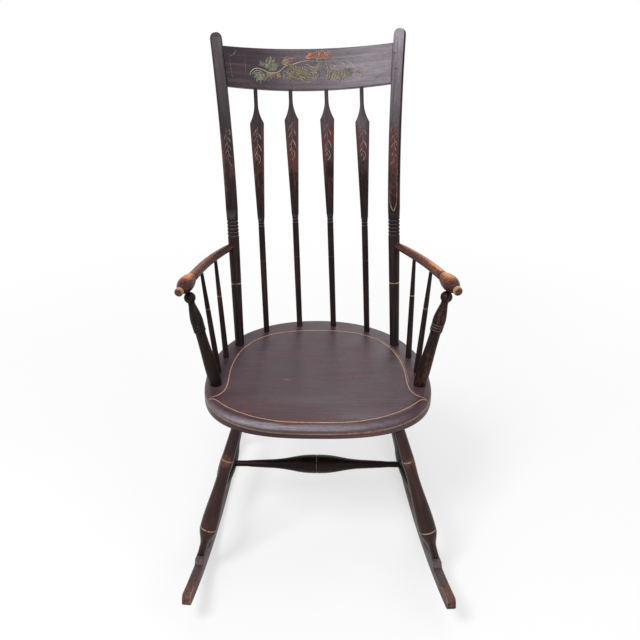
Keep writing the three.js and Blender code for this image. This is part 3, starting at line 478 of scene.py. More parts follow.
def brush(name, strokes, finish, height=0.0, on=None, step=0.002):
    """Brush strokes laid flat as thin lens-shaped ribbons, or as a film that a piece takes up."""
    flat = ((-1, 0), (-0.33, 0), (0.33, 0), (1, 0))
    lens = ((-1, 0), (-0.55, -0.05), (0.55, -0.05), (1, 0), (0.55, 0.05), (-0.55, 0.05))
    tip = bpy.data.curves.new("brush", "CURVE")
    draw_line(tip, [(x, y, 0) for x, y in (flat if on else lens)], closed=not on)
    bristles = lay_out("brush", tip)
    curve = bpy.data.curves.new(name, "CURVE")
    curve.dimensions, curve.twist_mode, curve.bevel_mode = "3D", "Z_UP", "OBJECT"
    curve.bevel_object = bristles
    curve.use_fill_caps = not on
    for stroke in strokes:
        line = drawn(stroke, step)
        for point, place in zip(draw_line(curve, [(x, y, height) for x, y, half_width in line]), line):
            point.radius = max(place[2], 0.00012)
    painting = cut_out(name, curve)
    bpy.data.objects.remove(bristles)
    if on:
        work_in(painting, "SHRINKWRAP", target=on, wrap_method="PROJECT", use_project_z=True,
                use_positive_direction=False, use_negative_direction=True, offset=0.00008)
        work_in(painting, "SOLIDIFY", thickness=0.00006, offset=0)
    put_down(painting)
    bpy.ops.object.shade_smooth()
    coat(painting, finish)
    return painting


def brushed(name, colour, shade, kept, softness):
    """Thin stripe or stencil paint, worn off in specks so that the ground shows through."""
    finish, tree = new_finish(name)
    place = add_node(tree, "TexCoord")["Object"]
    patches, broad = noise(tree, place, 230, 4, 0.65), noise(tree, place, 60, 2)
    tones = eased(tree, noise(tree, place, 420, 3), 0.38, 0.62)
    left = sum_of(tree, sum_of(tree, centred(tree, patches, 1.0), centred(tree, broad, 0.8)), kept)
    shader = add_node(tree, "BsdfPrincipled", {
        "Base Color": tinted(tree, tones, (*shade, 1), (*colour, 1)),
        "Roughness": sum_of(tree, times(tree, patches, 0.3), 0.35),
        "Specular IOR Level": 0.3,
        "Alpha": eased(tree, left, 0.5 - softness, 0.5 + softness),
        "Normal": add_node(tree, "Bump", {"Height": patches, "Strength": 0.2, "Distance": 0.0004})[0],
    })
    add_node(tree, "OutputMaterial", {0: shader[0]})
    return finish


def both_halves(half):
    return half + [(-x, y) for x, y in reversed(half[:-1])]


seat_stripe = brushed("seat_stripe", (0.56, 0.34, 0.19), (0.36, 0.2, 0.11), 0.74, 0.2)
half_balloon = [
    (0.2378, -0.1230), (0.2300, -0.1205), (0.2205, -0.1160), (0.2105, -0.1060), (0.2020, -0.0870),
    (0.1990, -0.0580), (0.1985, -0.0270), (0.1968, 0.0030), (0.1905, 0.0420), (0.1775, 0.0850),
    (0.1590, 0.1170), (0.1400, 0.1390), (0.1060, 0.1620), (0.0660, 0.1740), (0.0250, 0.1795), (0.0, 0.1802),
]
half_front = [
    (0.2378, -0.1230), (0.2280, -0.1262), (0.2185, -0.1320), (0.2040, -0.1475), (0.1880, -0.1620),
    (0.1650, -0.1780), (0.1390, -0.1920), (0.1160, -0.2010), (0.0830, -0.2095), (0.0480, -0.2130), (0.0, -0.2140),
]
balloon_line, front_line = both_halves(half_balloon), both_halves(half_front)
outer_line = [(x * 1.018, y * 1.02 + 0.003) for x, y in balloon_line[5:12]]
stripes = brush(
    "seat_stripes",
    [
        [(x, y, half_width) for x, y in line]
        for line, half_width in ((balloon_line, 0.00115), (front_line, 0.00105), (outer_line, 0.0004))
    ],
    seat_stripe,
    height=seat_top + 0.01,
    on=seat,
    step=0.004,
)
fit(stripes, "seat_paint")

# ----------------------------------------
# The four legs: maple turned in the bamboo pattern, each with two swelled nodes that are scored
# and lined in gold. They are driven into the seat above and into the rockers below.

seat_under = seat_top - seat_thickness
rocker_radius, rocker_lowest_y = 1.43, 0.036
rocker_depth, rocker_pad_rise = 0.024, 0.011


def pad_height(y):
    """The top of a rocker's pad, where a leg stands on it."""
    rise = rocker_radius - math.sqrt(rocker_radius**2 - (y - rocker_lowest_y) ** 2)
    return rise + rocker_depth + rocker_pad_rise


def turn(name, profile, sides=36):
    """Turns a blank: it grows along Z one station at a time, each (place, half width, depth)."""
    bpy.ops.object.select_all(action="DESELECT")
    place, radius = profile[0][:2]
    bpy.ops.mesh.primitive_circle_add(vertices=sides, radius=radius, fill_type="NGON", location=(0, 0, place))
    blank = bpy.context.object
    blank.name = blank.data.name = name
    settle(blank)
    mark(blank, "polygons")
    for before, after in zip(profile, profile[1:]):
        bpy.ops.mesh.extrude_region_move(TRANSFORM_OT_translate={"value": (0, 0, after[0] - before[0])})
        wider, deeper = after[1] / before[1], after[-1] / before[-1]
        bpy.ops.transform.resize(value=(wider, deeper, 1), center_override=(0, 0, after[0]))
    put_down(blank)
    smooth_over(blank)
    return blank


def shaped(steps, station):
    """Stations at even shares of a length, from the first step to the whole."""
    return [station(i / steps) for i in range(1, steps + 1)]


def run(start, end, steps, ease=True):
    """The stations of a smooth run that follow start, up to and with end."""

    def station(share):
        grown = (1 - math.cos(math.pi * share)) / 2 if ease else share
        return (
            start[0] + (end[0] - start[0]) * share, *(a + (b - a) * grown for a, b in zip(start[1:], end[1:]))
        )

    return shaped(steps, station)


def set_between(piece, start, end):
    """Stands a turned piece on its start, with its length towards its end."""
    piece.rotation_mode = "QUATERNION"
    piece.rotation_quaternion = (Vector(end) - Vector(start)).to_track_quat("Z", "Y")
    piece.location = start
    settle(piece)


def copy_of(piece, name):
    take_up(piece)
    bpy.ops.object.duplicate()
    bpy.context.object.name = bpy.context.object.data.name = name
    return bpy.context.object


def line_ring(piece, low, high, index=1):
    """Gives the band of faces between two heights another of the piece's finishes."""
    for face in piece.data.polygons:
        if low < face.center.z < high:
            face.material_index = index


dark_paint = painted(
    "dark_paint", (0.0105, 0.006, 0.0052), (0.066, 0.023, 0.0165), (0.27, 0.13, 0.065), graining=0.46,
    specular=0.11, dullness=0.36,
)
leg_paint = painted(
    "leg_paint", (0.029, 0.0138, 0.0118), (0.085, 0.036, 0.028), (0.36, 0.18, 0.085), graining=0.4,
    fineness=0.7, specular=0.15, dullness=0.33,
)
lined = partial(painted, graining=0.8, crazing=0.1)
gold_line = lined(
    "gold_line", (0.36, 0.25, 0.15), (0.16, 0.1, 0.062), (0.03, 0.016, 0.012), mottling=0.7, rubbed=0.42
)
faded_line = lined(
    "faded_line", (0.27, 0.19, 0.15), (0.1, 0.06, 0.045), (0.02, 0.011, 0.009), mottling=0.7, rubbed=0.46
)

leg_ends = {
    "front": ((0.172, -0.180, seat_under), (0.260, -0.244, pad_height(-0.244))),
    "rear": ((0.124, 0.152, seat_under), (0.222, 0.220, pad_height(0.220))),
}
node_from_foot = {"front": 0.072, "rear": 0.113}
leg_nodes = {}
ring_depth, upper_ring = 0.0014, 0.077
ring_low, ring_high = upper_ring - ring_depth, upper_ring + ring_depth
tenon, upper_node, waist, lower_node, ankle, foot_pin = 0.0108, 0.0138, 0.0128, 0.0193, 0.0086, 0.0084
for which, (leg_top, leg_foot) in leg_ends.items():
    length = math.dist(leg_top, leg_foot)
    node = leg_nodes[which] = length - node_from_foot[which]
    profile = [(-0.02, tenon), (0.0, tenon)]
    profile += run((0.0, tenon), (ring_low, upper_node), 6, ease=False)
    profile += [(upper_ring, upper_node - ring_depth), (ring_high, upper_node)]
    profile += run((ring_high, upper_node), (0.110, waist), 6)
    profile += run((0.110, waist), (node - ring_depth, lower_node), 12)
    profile += [(node, lower_node - ring_depth), (node + ring_depth, lower_node)]
    profile += run((node + ring_depth, lower_node), (length - 0.024, ankle), 10)
    profile += [(length - 0.008, foot_pin), (length + 0.0035, foot_pin)]
    blank = turn(f"leg_{which}", profile)
    coat(blank, leg_paint, gold_line)
    line_ring(blank, ring_low, ring_high)
    line_ring(blank, node - ring_depth, node + ring_depth)
    wear = [(0.0, 0.08), (0.06, 0.2), (0.077, 0.5), (0.095, 0.22), (0.12, 0.1), (node - 0.02, 0.16),
            (node, 0.4), (node + 0.02, 0.16), (length, 0.3)]
    for side, hand in sides:
        leg = copy_of(blank, f"leg_{which}_{hand}_turning")
        note_grain(leg, 0.37 * side + (0.9 if which == "rear" else 0.0))
        more = 0.2 if (which, hand) == ("front", "left") else 0.0
        note_wear(leg, lambda vertex: between(wear, vertex.co.z) + more * (0.055 < vertex.co.z < 0.098))
        set_between(leg, *((side * x, y, z) for x, y, z in (leg_top, leg_foot)))
        fit(leg, "dark_paint", f"leg_{which}_{hand}")
    bpy.data.objects.remove(blank)

# ----------------------------------------
# The stretchers: one turned swelling on each side between the legs' lower nodes, and one across
# between those two. Each has a scored ring at its middle, and slim ends driven into its holes.

stretcher_groove = 0.0016


def node_place(side, which):
    """The middle of a leg's lower node, where a side stretcher enters."""
    leg_top, leg_foot = (Vector((side * x, y, z)) for x, y, z in leg_ends[which])
    return leg_top + (leg_foot - leg_top).normalized() * leg_nodes[which]


def stretch_between(name, start, end, end_radius, swell_radius, swell_run):
    """A stretcher with slim ends that ease into a swelling, and a ring at the middle."""
    length = (end - start).length
    middle = length / 2
    rise = [(-0.6, 0.0), (-0.45, 0.08), (-0.3, 0.13), (-0.15, 0.18), (0.0, 0.225), (0.1, 0.275), (0.2, 0.345),
            (0.3, 0.44), (0.4, 0.56), (0.5, 0.69), (0.6, 0.815), (0.7, 0.905), (0.8, 0.96), (0.9, 0.99)]
    half = [(0.008, end_radius)] + [
        (middle - swell_run * (1 - share), end_radius + (swell_radius - end_radius) * grown)
        for share, grown in rise
    ]
    half.append((middle - stretcher_groove, swell_radius))
    profile = half + [(middle, swell_radius - stretcher_groove)]
    profile += [(length - place, radius) for place, radius in reversed(half)]
    piece = turn(f"{name}_turning", profile)
    coat(piece, dark_paint, faded_line)
    line_ring(piece, middle - stretcher_groove, middle)
    note_grain(piece, 0.21 * length)
    wear = [(0.0, 0.05), (middle - 0.03, 0.12), (middle, 0.36), (middle + 0.03, 0.12), (length, 0.05)]
    note_wear(piece, lambda vertex: between(wear, vertex.co.z))
    set_between(piece, start, end)
    fit(piece, "dark_paint", name)
    return (start + end) / 2


left_middle, right_middle = (
    stretch_between(
        f"stretcher_side_{hand}", node_place(side, "front"), node_place(side, "rear"), 0.0074, 0.021, 0.112
    )
    for side, hand in sides
)
stretch_between("stretcher_cross", left_middle, right_middle, 0.0072, 0.0225, 0.106)

# ----------------------------------------
# The two rockers: oak boards on edge, sawn to an arc, with a raised pad under each leg. Their
# tops and edges are scuffed grey and bare, with pale patches of painted light by the pads, and
# each carries the feet of the legs on its side.

rocker_half_length, rocker_thickness = 0.401, 0.0195
rocker_heel, rocker_nose = 0.005, 0.010
pad_ahead, pad_step, pad_shares = 0.027, 0.009, (0.3, 0.55, 0.75, 0.9)
arris = 0.0024


def rocker_outline(lowest, pads):
    """The board seen from its side: its length along x and its height along y."""
    outline = []

    def at(x, depth):
        angle = math.asin((x - lowest) / rocker_radius)
        inner = rocker_radius - depth
        outline.append((lowest + inner * math.sin(angle), rocker_radius - inner * math.cos(angle)))

    def along_top(start, end):
        steps = max(3, round((start - end) / 0.0125))
        for i in range(1, steps + 1):
            at(start + (end - start) * i / steps, rocker_depth)

    low, high = rocker_half_length - rocker_heel, rocker_half_length - rocker_nose
    quarter = [math.radians(degrees) for degrees in (0, 15, 30, 45, 60, 75, 90)]
    for i in range(65):
        at(-low + 2 * low * i / 64, 0.0)
    for angle in quarter[1:]:
        at(low + rocker_heel * math.sin(angle), rocker_heel * (1 - math.cos(angle)))
    for angle in quarter:
        at(high + rocker_nose * math.cos(angle), rocker_depth - rocker_nose * (1 - math.sin(angle)))
    x = high
    for pad in pads:
        far, near_edge = pad + pad_ahead, pad - pad_ahead
        along_top(x, far + pad_step)
        for share in pad_shares:
            at(far + pad_step * (1 - share), rocker_depth + rocker_pad_rise * share**2.6)
        for i in range(6):
            at(far + (near_edge - far) * i / 5, rocker_depth + rocker_pad_rise)
        for share in reversed(pad_shares):
            at(near_edge - pad_step * (1 - share), rocker_depth + rocker_pad_rise * share**2.6)
        x = near_edge - pad_step
        at(x, rocker_depth)
    along_top(x, -high)
    for angle in quarter[1:]:
        at(-high - rocker_nose * math.sin(angle), rocker_depth - rocker_nose * (1 - math.cos(angle)))
    for angle in reversed(quarter[1:]):
        at(-low - rocker_heel * math.sin(angle), rocker_heel * (1 - math.cos(angle)))
    return outline


def arris_wear(vertex):
    """How nearly a point lies on an arris, and how far it is from a face of the board."""
    share = vertex.normal.z**2
    return min(1.0, 4.5 * share * (1 - share)), 1 - share


def rocker_rubbing(vertex):
    """Scuffed along the arrises and the top, and most at the toes."""
    toe = past(abs(vertex.co.x), 0.31, 0.06)
    return 0.22 + 0.3 * arris_wear(vertex)[0] + 0.12 * max(0.0, vertex.normal.y) + 0.34 * toe


rocker_paint = painted(
    "rocker_paint", (0.034, 0.02, 0.017), (0.115, 0.052, 0.042), (0.27, 0.17, 0.12), graining=0.75,
    fineness=1.2, mottling=0.35, crazing=0.8, dullness=0.5, relief=0.6, specular=0.16,
)
# Painted light: pale grey patches along each rocker by the pads under the legs, none at the toes
rocker_lit_patches = [
    (-0.36, 0.0), (-0.33, 0.07), (-0.29, 0.15), (-0.283, 0.03), (-0.275, 0.03), (-0.272, 0.24), (-0.25, 0.2),
    (-0.2, 0.1), (0.17, 0.1), (0.22, 0.3), (0.25, 0.1), (0.3, 0.14), (0.37, 0.0),
]
for side, hand in sides:
    front, rear = (Vector((side * foot[0], foot[1], 0)) for top, foot in leg_ends.values())
    along = (rear - front).normalized()
    start = front + (rear - front) * (-front.y / (rear.y - front.y))
    outline = rocker_outline(rocker_lowest_y / along.y, (rear.y / along.y, front.y / along.y))
    rocker = saw_out(f"rocker_{hand}_board", outline, rocker_thickness, rocker_thickness / 2)
    for face in (1, -1):
        round_over(rocker, face * rocker_thickness / 2, arris)
    note_wear(rocker, rocker_rubbing)
    note_wear(rocker, lambda vertex: between(rocker_lit_patches, vertex.co.x), "painted_sheen")
    note_grain(rocker, side, "yzx", (1, 0, 0))
    rocker.matrix_world = Matrix((
        (along.x, 0, along.y, start.x),
        (along.y, 0, -along.x, start.y),
        (0, 1, 0, 0),
        (0, 0, 0, 1),
    ))
    settle(rocker)
    coat(rocker, rocker_paint)
    smooth_over(rocker, 32)
    fit(rocker, "rocker_paint", f"rocker_{hand}")

# ----------------------------------------
# The two back stiles: turned below with five scored rings, then shaved flat in front and steamed
# back and outwards. The old back has racked, so both lean to the sitter's right.

stile_top, back_lean = 1.084, 0.021
stile_bend, bend_rise = 0.690, 0.394
ringed, stile_half, stile_back, stile_flat = 0.0133, 0.0141, 0.0106, 0.008
paint_proud = 0.00006
stile_rings = [0.652 + 0.008 * i for i in range(5)]


def back_shift(height):
    """How far the racked back stands aside at a height."""
    return -back_lean * (height - seat_top) / (stile_top - seat_top)


def stile_point(side, height):
    """The middle of a stile at a height: straight to its bend, then curved back and outwards."""
    lean, flare = 0.0915 / 0.288, 0.0031 / 0.288
    rise = height - stile_bend
    bent = max(rise, 0.0) ** 2
    back_bend = (0.168 - lean * bend_rise) / bend_rise**2
    out_bend = (0.0237 - flare * bend_rise) / bend_rise**2
    x = side * (0.1886 + flare * rise + out_bend * bent) + back_shift(height)
    return Vector((x, 0.203 + lean * rise + back_bend * bent, height))


def lengths_along(path):
    """How far along a path each of its points lies."""
    lengths = [0.0]
    for before, after in zip(path, path[1:]):
        lengths.append(lengths[-1] + (after - before).length)
    return lengths


def bend_along(pieces, path, axis="POS_Z"):
    """Bends straight pieces along a path, with their fronts kept to the front of the chair."""
    curve = bpy.data.curves.new("former", "CURVE")
    curve.dimensions, curve.twist_mode = "3D", "Z_UP"
    for i, point in enumerate(draw_line(curve, path)):
        if axis == "POS_Z":
            way = (path[min(i + 1, len(path) - 1)] - path[max(i - 1, 0)]).normalized()
            point.tilt = math.pi + math.atan2(way.x * way.z, way.y)
    former = lay_out("former", curve)
    for piece in pieces:
        work_in(piece, "CURVE", object=former, deform_axis=axis)
    bpy.data.objects.remove(former)


def shave(piece, cuts, faces=(-1,)):
    """Shaves a turned piece flat at stations (place, swelling first given, depth of the flat)."""
    for place, swelling, depth in cuts:
        for face in faces:
            mark(piece, "vertices", lambda v: abs(v.co.z - place) < 2e-5 and v.co.y * face > 1e-5)
            bpy.ops.transform.resize(value=(1, swelling, 1), center_override=(0, 0, place))
            mark(piece, "vertices", lambda v: abs(v.co.z - place) < 2e-5 and v.co.y * face > depth)
            bpy.ops.transform.resize(value=(1, 0, 1), center_override=(0, face * depth, place))
    put_down(piece)
    smooth_over(piece, 30)


def stand_up(piece, front):
    """Stands what was painted flat on the bench up against the front of a straight piece."""
    piece.rotation_euler = (math.radians(90), 0, 0)
    piece.location = (0, -front, 0)
    settle(piece)


stile_foot = seat_top - 0.022
stile_heights = [stile_foot + (stile_top + 0.002 - stile_foot) * i / 90 for i in range(91)]
stile_paths = {side: [stile_point(side, height) for height in stile_heights] for side, hand in sides}
stile_scale = list(zip(stile_heights, lengths_along(stile_paths[1])))
up_stile = partial(between, stile_scale)

# The stations are written as heights on the finished chair, and up_stile makes each a length
# along the straight blank.
stations = [(stile_foot, 0.0108), (seat_top, 0.0108)]
stations += run((seat_top, 0.0108), (0.5417, 0.0122), 6, ease=False) + [(0.543, 0.0109), (0.5443, 0.0122)]
stations += run((0.5443, 0.0122), (0.6478, ringed), 6, ease=False)
for ring in stile_rings:
    stations += [(ring - 0.0018, ringed), (ring - 0.0006, 0.012)]
    stations += [(ring + 0.0006, 0.012), (ring + 0.0018, ringed)]
stations = [(up_stile(height), radius, radius) for height, radius in stations]
rings_top, flat_foot, flat_top = up_stile(0.688), up_stile(0.714), up_stile(1.071)
ear = up_stile(stile_top) - flat_top
stations += [(rings_top, ringed, ringed)]
stations += run((rings_top, ringed, ringed), (flat_foot, stile_half, stile_back), 8)
stations += run((flat_foot, stile_half, stile_back), (flat_top, stile_half, stile_back), 26)
for angle in map(math.radians, (12, 25, 38, 50, 61, 71, 80, 86)):
    smaller = math.cos(angle)
    stations.append((flat_top + ear * math.sin(angle), stile_half * smaller, stile_back * smaller))
stile_blank = turn("stile", stations, 40)


def shaved(place):
    """How much of the flat has been reached at a place, from none at the rings to all."""
    return math.sin(past(place, rings_top, flat_foot - rings_top) * math.pi / 2)


shave(stile_blank, [
    (place, 1 + 0.5 * shaved(place), ringed - (ringed - stile_flat) * shaved(place))
    if place <= flat_foot else (place, 1.5, stile_flat * half_width / stile_half)
    for place, half_width, back in stations if place > rings_top
])
stile_paint = painted(
    "stile_paint", (0.0115, 0.0062, 0.0062), (0.082, 0.029, 0.027), (0.27, 0.13, 0.065), graining=0.4,
    mottling=0.2, specular=0.12, dullness=0.36,
)
# Painted highlight: a pale teal grey on the upward flank of each scored ring, where light would catch it
ring_highlight = painted(
    "ring_highlight", (0.065, 0.08, 0.078), (0.04, 0.042, 0.04), (0.2, 0.14, 0.1), graining=0.6, mottling=0.5,
    rubbed=0.3,
)
coat(stile_blank, stile_paint, gold_line, ring_highlight)
line_ring(stile_blank, up_stile(0.5417), up_stile(0.5443))
for ring in stile_rings:
    line_ring(stile_blank, up_stile(ring - 0.0019), up_stile(ring - 0.0006), 2)

# The stiles' gilding: a hanging spray of willow leaves under a curl, and below it two fine lines
# that meet in a point, which have worn off on the left stile.
leaf_tan = brushed("leaf_tan", (0.36, 0.24, 0.16), (0.17, 0.105, 0.08), 0.58, 0.22)
leaf_pink = brushed("leaf_pink", (0.3, 0.21, 0.195), (0.16, 0.105, 0.1), 0.6, 0.25)


def dab(x, y, tip_x, tip_y, half_width, bow=0.08):
    """One pointed dab of the brush from its root to its tip, bowed a little aside."""
    stroke = []
    for share, fullness in ((0.0, 0.15), (0.2, 0.6), (0.45, 1.0), (0.75, 0.7), (1.0, 0.06)):
        aside = bow * 4 * share * (1 - share)
        stroke.append((
            x + (tip_x - x) * share - (tip_y - y) * aside,
            y + (tip_y - y) * share + (tip_x - x) * aside,
            half_width * fullness,
        ))
    return stroke


spray = [
    [(-0.0035, 0.8818, 0.0004), (-0.0065, 0.8793, 0.0008), (-0.0080, 0.8745, 0.0010),
     (-0.0066, 0.8698, 0.0007), (-0.0040, 0.8715, 0.0003)],
    [(0.0020, 0.8870, 0.0002), (-0.0004, 0.8707, 0.0004), (0.0010, 0.8526, 0.0004), (-0.0006, 0.8345, 0.0004),
     (0.0008, 0.8199, 0.0003)],
    dab(0.0015, 0.8715, 0.0066, 0.8603, 0.0010),
    dab(-0.0008, 0.8655, -0.0064, 0.8526, 0.0008, -0.08),
    dab(0.0008, 0.8543, 0.0066, 0.8414, 0.0009),
    dab(0.0, 0.8483, -0.0066, 0.8363, 0.0010, -0.08),
    dab(-0.0004, 0.8406, 0.0054, 0.8311, 0.0011),
    dab(0.0004, 0.8311, -0.0050, 0.8199, 0.0009, -0.08),
    dab(0.0014, 0.8268, 0.0064, 0.8182, 0.0008),
    [(0.0008, 0.8208, 0.0004), (-0.0002, 0.8122, 0.0009), (-0.0040, 0.8062, 0.0012),
     (-0.0076, 0.8027, 0.0004)],
]
lines = [[
    (-0.0082, 0.7500, 0.0002), (-0.0081, 0.7350, 0.0003), (-0.0070, 0.7200, 0.0007),
    (-0.0042, 0.7110, 0.0012), (0.0, 0.7040, 0.0010), (0.0042, 0.7110, 0.0012), (0.0070, 0.7200, 0.0007),
    (0.0080, 0.7350, 0.0005), (0.0082, 0.7700, 0.0004), (0.0082, 0.8060, 0.0003),
]]
nail_head = [
    (-0.0075, 1.0010, 0.0003), (-0.0060, 1.0006, 0.0011), (-0.0042, 1.0008, 0.0010),
    (-0.0028, 1.0014, 0.0003),
]
worn_up = [
    (0.0, 0.1), (0.12, 0.2), (0.16, 0.24), (0.2, 0.12), (0.27, 0.24), (0.33, 0.3), (0.38, 0.42), (0.43, 0.54),
    (0.5, 0.5), (0.55, 0.4), (0.6, 0.3), (0.66, 0.22), (0.74, 0.18),
]
# Painted sheen along the stiles, by length up the blank, from none low down to pale at the ear
sheen_up = [
    (0.38, 0.0), (0.45, 0.06), (0.52, 0.2), (0.58, 0.34), (0.64, 0.52), (0.7, 0.7), (0.72, 0.95), (0.74, 1.2),
]
for side, hand in sides:
    stile = copy_of(stile_blank, f"stile_{hand}_turning")
    note_grain(stile, 0.43 * side + 1.7)
    # The painted ring highlights are left off each stile's outer side
    for face in stile.data.polygons:
        if side * face.center.x > 0.0055 and face.material_index == 2:
            face.material_index = 0

    def stile_wear_and_shade(vertex):
        """Rubbed red up the flat and along the left stile's arris; the right stile's outer side is kept dark as
        painted shade.
        """
        x, y, up = vertex.co
        if hand == "left":
            left_arris = max(0.0, -x / stile_half - 0.35) * (y < 0.004) * (up > 0.3)
            return 0.7 * between(worn_up, up) - 0.06 + 0.62 * left_arris
        # The right stile's outer side is kept dark, as painted shade
        return between(worn_up, up) * (1 - 0.8 * past(side * x, 0.0078, 0.002))

    def stile_painted_sheen(vertex):
        """A painted sheen on the flat, growing towards the ear: full on the right stile, faint on the left, and
        none on the outer side.
        """
        x, y, up = vertex.co
        front = past(0.5 - y / 0.008, 0.0) * (1 - past(side * x, 0.0078, 0.002))
        return between(sheen_up, up) * (1.0 if hand == "right" else 0.16) * front

    note_wear(stile, stile_wear_and_shade)
    note_wear(stile, stile_painted_sheen, "painted_sheen")
    if hand == "right":
        strokes, finish, fullness = spray + lines, leaf_tan, 1.0
        nail = brush("nail_mark", [[(x, up_stile(z), w) for x, z, w in nail_head]], dark_paint, step=0.001)
        note_grain(nail)
        stand_up(nail, stile_flat + paint_proud)
        bend_along([nail], stile_paths[side])
        fit(nail, "dark_paint")
    else:
        strokes, finish, fullness = [[(-x, z, w) for x, z, w in stroke] for stroke in spray], leaf_pink, 0.8
    painting = brush(
        f"stile_{hand}_gilding",
        [[(x - side * 0.0022, up_stile(z), w * fullness) for x, z, w in stroke] for stroke in strokes],
        finish,
    )
    stand_up(painting, stile_flat + paint_proud)
    for vertex in painting.data.vertices:
        vertex.co.y -= (ringed - stile_flat) * (1 - shaved(vertex.co.z))
    bend_along([stile, painting], stile_paths[side])
    fit(stile, "dark_paint", f"stile_{hand}")
    fit(painting, "dark_paint")
bpy.data.objects.remove(stile_blank)

# ----------------------------------------
# The crest rail: a wide board steamed to a curve and tenoned between the stiles, where a peg on
# each side holds it. It carries a stencilled spray of leaves and fruit inside thin gold lines.

crest_height, crest_sagitta, crest_thickness = stile_top - 0.070, 0.042, 0.0145
crest_half_height, crest_belly = 0.0455, 0.005
crest_end = stile_point(1, crest_height)
crest_middle_x = back_shift(crest_height)
crest_half = crest_end.x - crest_middle_x
crest_radius = (crest_half**2 + crest_sagitta**2) / (2 * crest_sagitta)
crest_way = stile_point(1, crest_height + 0.001) - stile_point(1, crest_height - 0.001)
crest_rake = math.atan2(crest_way.y, crest_way.z)


def round_crest(x):
    """A place across the crest as a length along its curve."""
    return crest_radius * math.asin(x / crest_radius)


def behind_ends(x):
    """How far the curved crest stands behind the line between its ends."""
    return math.sqrt(crest_radius**2 - x**2) - crest_radius + crest_sagitta


def crest_low_edge(x):
    return -crest_half_height - crest_belly * math.cos(math.pi * x / (2 * crest_half))


# The board is longer on top, as the stiles spread, and its ends are let a little into them.
reach = crest_half - stile_half + 0.0032
left_slant, right_slant = 0.11 * crest_half_height, 0.055 * crest_half_height
across = [-reach + left_slant + (2 * reach - left_slant - right_slant) * i / 40 for i in range(41)]
top_left, top_right = round_crest(-reach - left_slant), round_crest(reach + right_slant)
outline = [(round_crest(x), crest_low_edge(x)) for x in across]
outline += [(top_right, crest_half_height), (top_left, crest_half_height)]
crest = saw_out("crest_board", outline, crest_thickness, crest_thickness / 2)
for face in (1, -1):
    round_over(crest, face * crest_thickness / 2, arris)
saw_cuts(crest, [(top_left + (top_right - top_left) * i / 60, 0, 0) for i in range(1, 60)], (1, 0, 0))
saw_cuts(crest, [(0, y, 0) for y in (-0.03, -0.01, 0.01, 0.03)], (0, 1, 0))


def crest_rubbing(vertex):
    """Rubbed through on the long arrises, where hands take hold of the chair."""
    on_arris, off_face = arris_wear(vertex)
    return 0.16 + 0.4 * on_arris + 0.1 * off_face


# Painted sheen on the crest's front, from none at its left end to pale grey at its right
crest_painted_sheen = [(-0.2, 0.0), (-0.12, 0.06), (-0.06, 0.18), (0.0, 0.29), (0.06, 0.39), (0.11, 0.5), (0.2, 0.6)]
note_wear(crest, crest_rubbing)
note_wear(crest, lambda vertex: between(crest_painted_sheen, vertex.co.x) * (vertex.co.z > 0), "painted_sheen")
note_grain(crest, axes="yzx")
crest_paint = painted(
    "crest_paint", (0.023, 0.016, 0.022), (0.092, 0.041, 0.045), (0.36, 0.17, 0.1), graining=0.6,
    fineness=0.6, mottling=0.25, crazing=0.35, relief=0.9, specular=0.2,
)
coat(crest, crest_paint)
smooth_over(crest)


def lobed(x, y, towards, size, half_width, lobes, spread_to):
    """A leaf of several dabs that fan out from one root, in millimetres on the board."""
    dabs = []
    for i in range(lobes):
        share = 2 * i / (lobes - 1) - 1
        angle = math.radians(towards + share * spread_to)
        reach = size * (1 - 0.28 * abs(share))
        tip = (x + reach * math.cos(angle), y + reach * math.sin(angle))
        dabs.append(dab(*(value / 1000 for value in (x, y, *tip, half_width)), 0.1 * share))
    return dabs


def line(half_width, *points):
    """A fine stroke through places in millimetres, thinner at both ends."""
    widths = [half_width / 1000] * len(points)
    widths[0] = widths[-1] = half_width / 1000 * 0.45
    return [(x / 1000, y / 1000, width) for (x, y), width in zip(points, widths)]


green_leaves = (
    lobed(-89, 4, 92, 24, 4.8, 7, 92)
    + lobed(-93, -4, 26, 28, 3.2, 3, 12)
    + lobed(-112, -14, 252, 24, 4.4, 6, 70)
)
grey_leaves = (
    lobed(-108, 4, 118, 16, 4.0, 3, 34)
    + lobed(-55, -5, 262, 24, 4.8, 3, 18)
    + lobed(28, -5, 216, 30, 4.2, 4, 26)
    + lobed(43, 9, 262, 35, 4.4, 3, 13)
    + lobed(97, -4, 256, 24, 4.2, 5, 46)
)
olive_leaves = (
    lobed(-88, -10, 270, 18, 3.4, 5, 66)
    + lobed(-32, 9, 258, 44, 5.6, 6, 27)
    + lobed(-8, 4, 264, 39, 5.2, 6, 30)
    + lobed(54, -9, 268, 22, 4.4, 4, 34)
    + lobed(76, -11, 266, 23, 4.6, 7, 64)
)
tan_leaves = (
    lobed(-61, 10, 30, 30, 4.2, 4, 24)
    + lobed(-69, -10, 268, 17, 4.6, 2, 8)
    + lobed(118, -8, 262, 16, 2.6, 3, 28)
    + lobed(57, 3, 24, 15, 2.2, 2, 10)
)
ribs = (
    lobed(-89, 4, 92, 21, 0.34, 7, 92)
    + lobed(-32, 8, 258, 38, 0.34, 6, 27)
    + lobed(-8, 2, 264, 32, 0.32, 6, 30)
    + lobed(76, -13, 266, 17, 0.32, 7, 66)
    + lobed(97, -5, 256, 18, 0.3, 5, 44)
    + lobed(-61, 10, 30, 26, 0.3, 4, 24)
    + lobed(54, -11, 268, 17, 0.3, 4, 34)
    + lobed(-112, -15, 252, 19, 0.3, 6, 74)
)
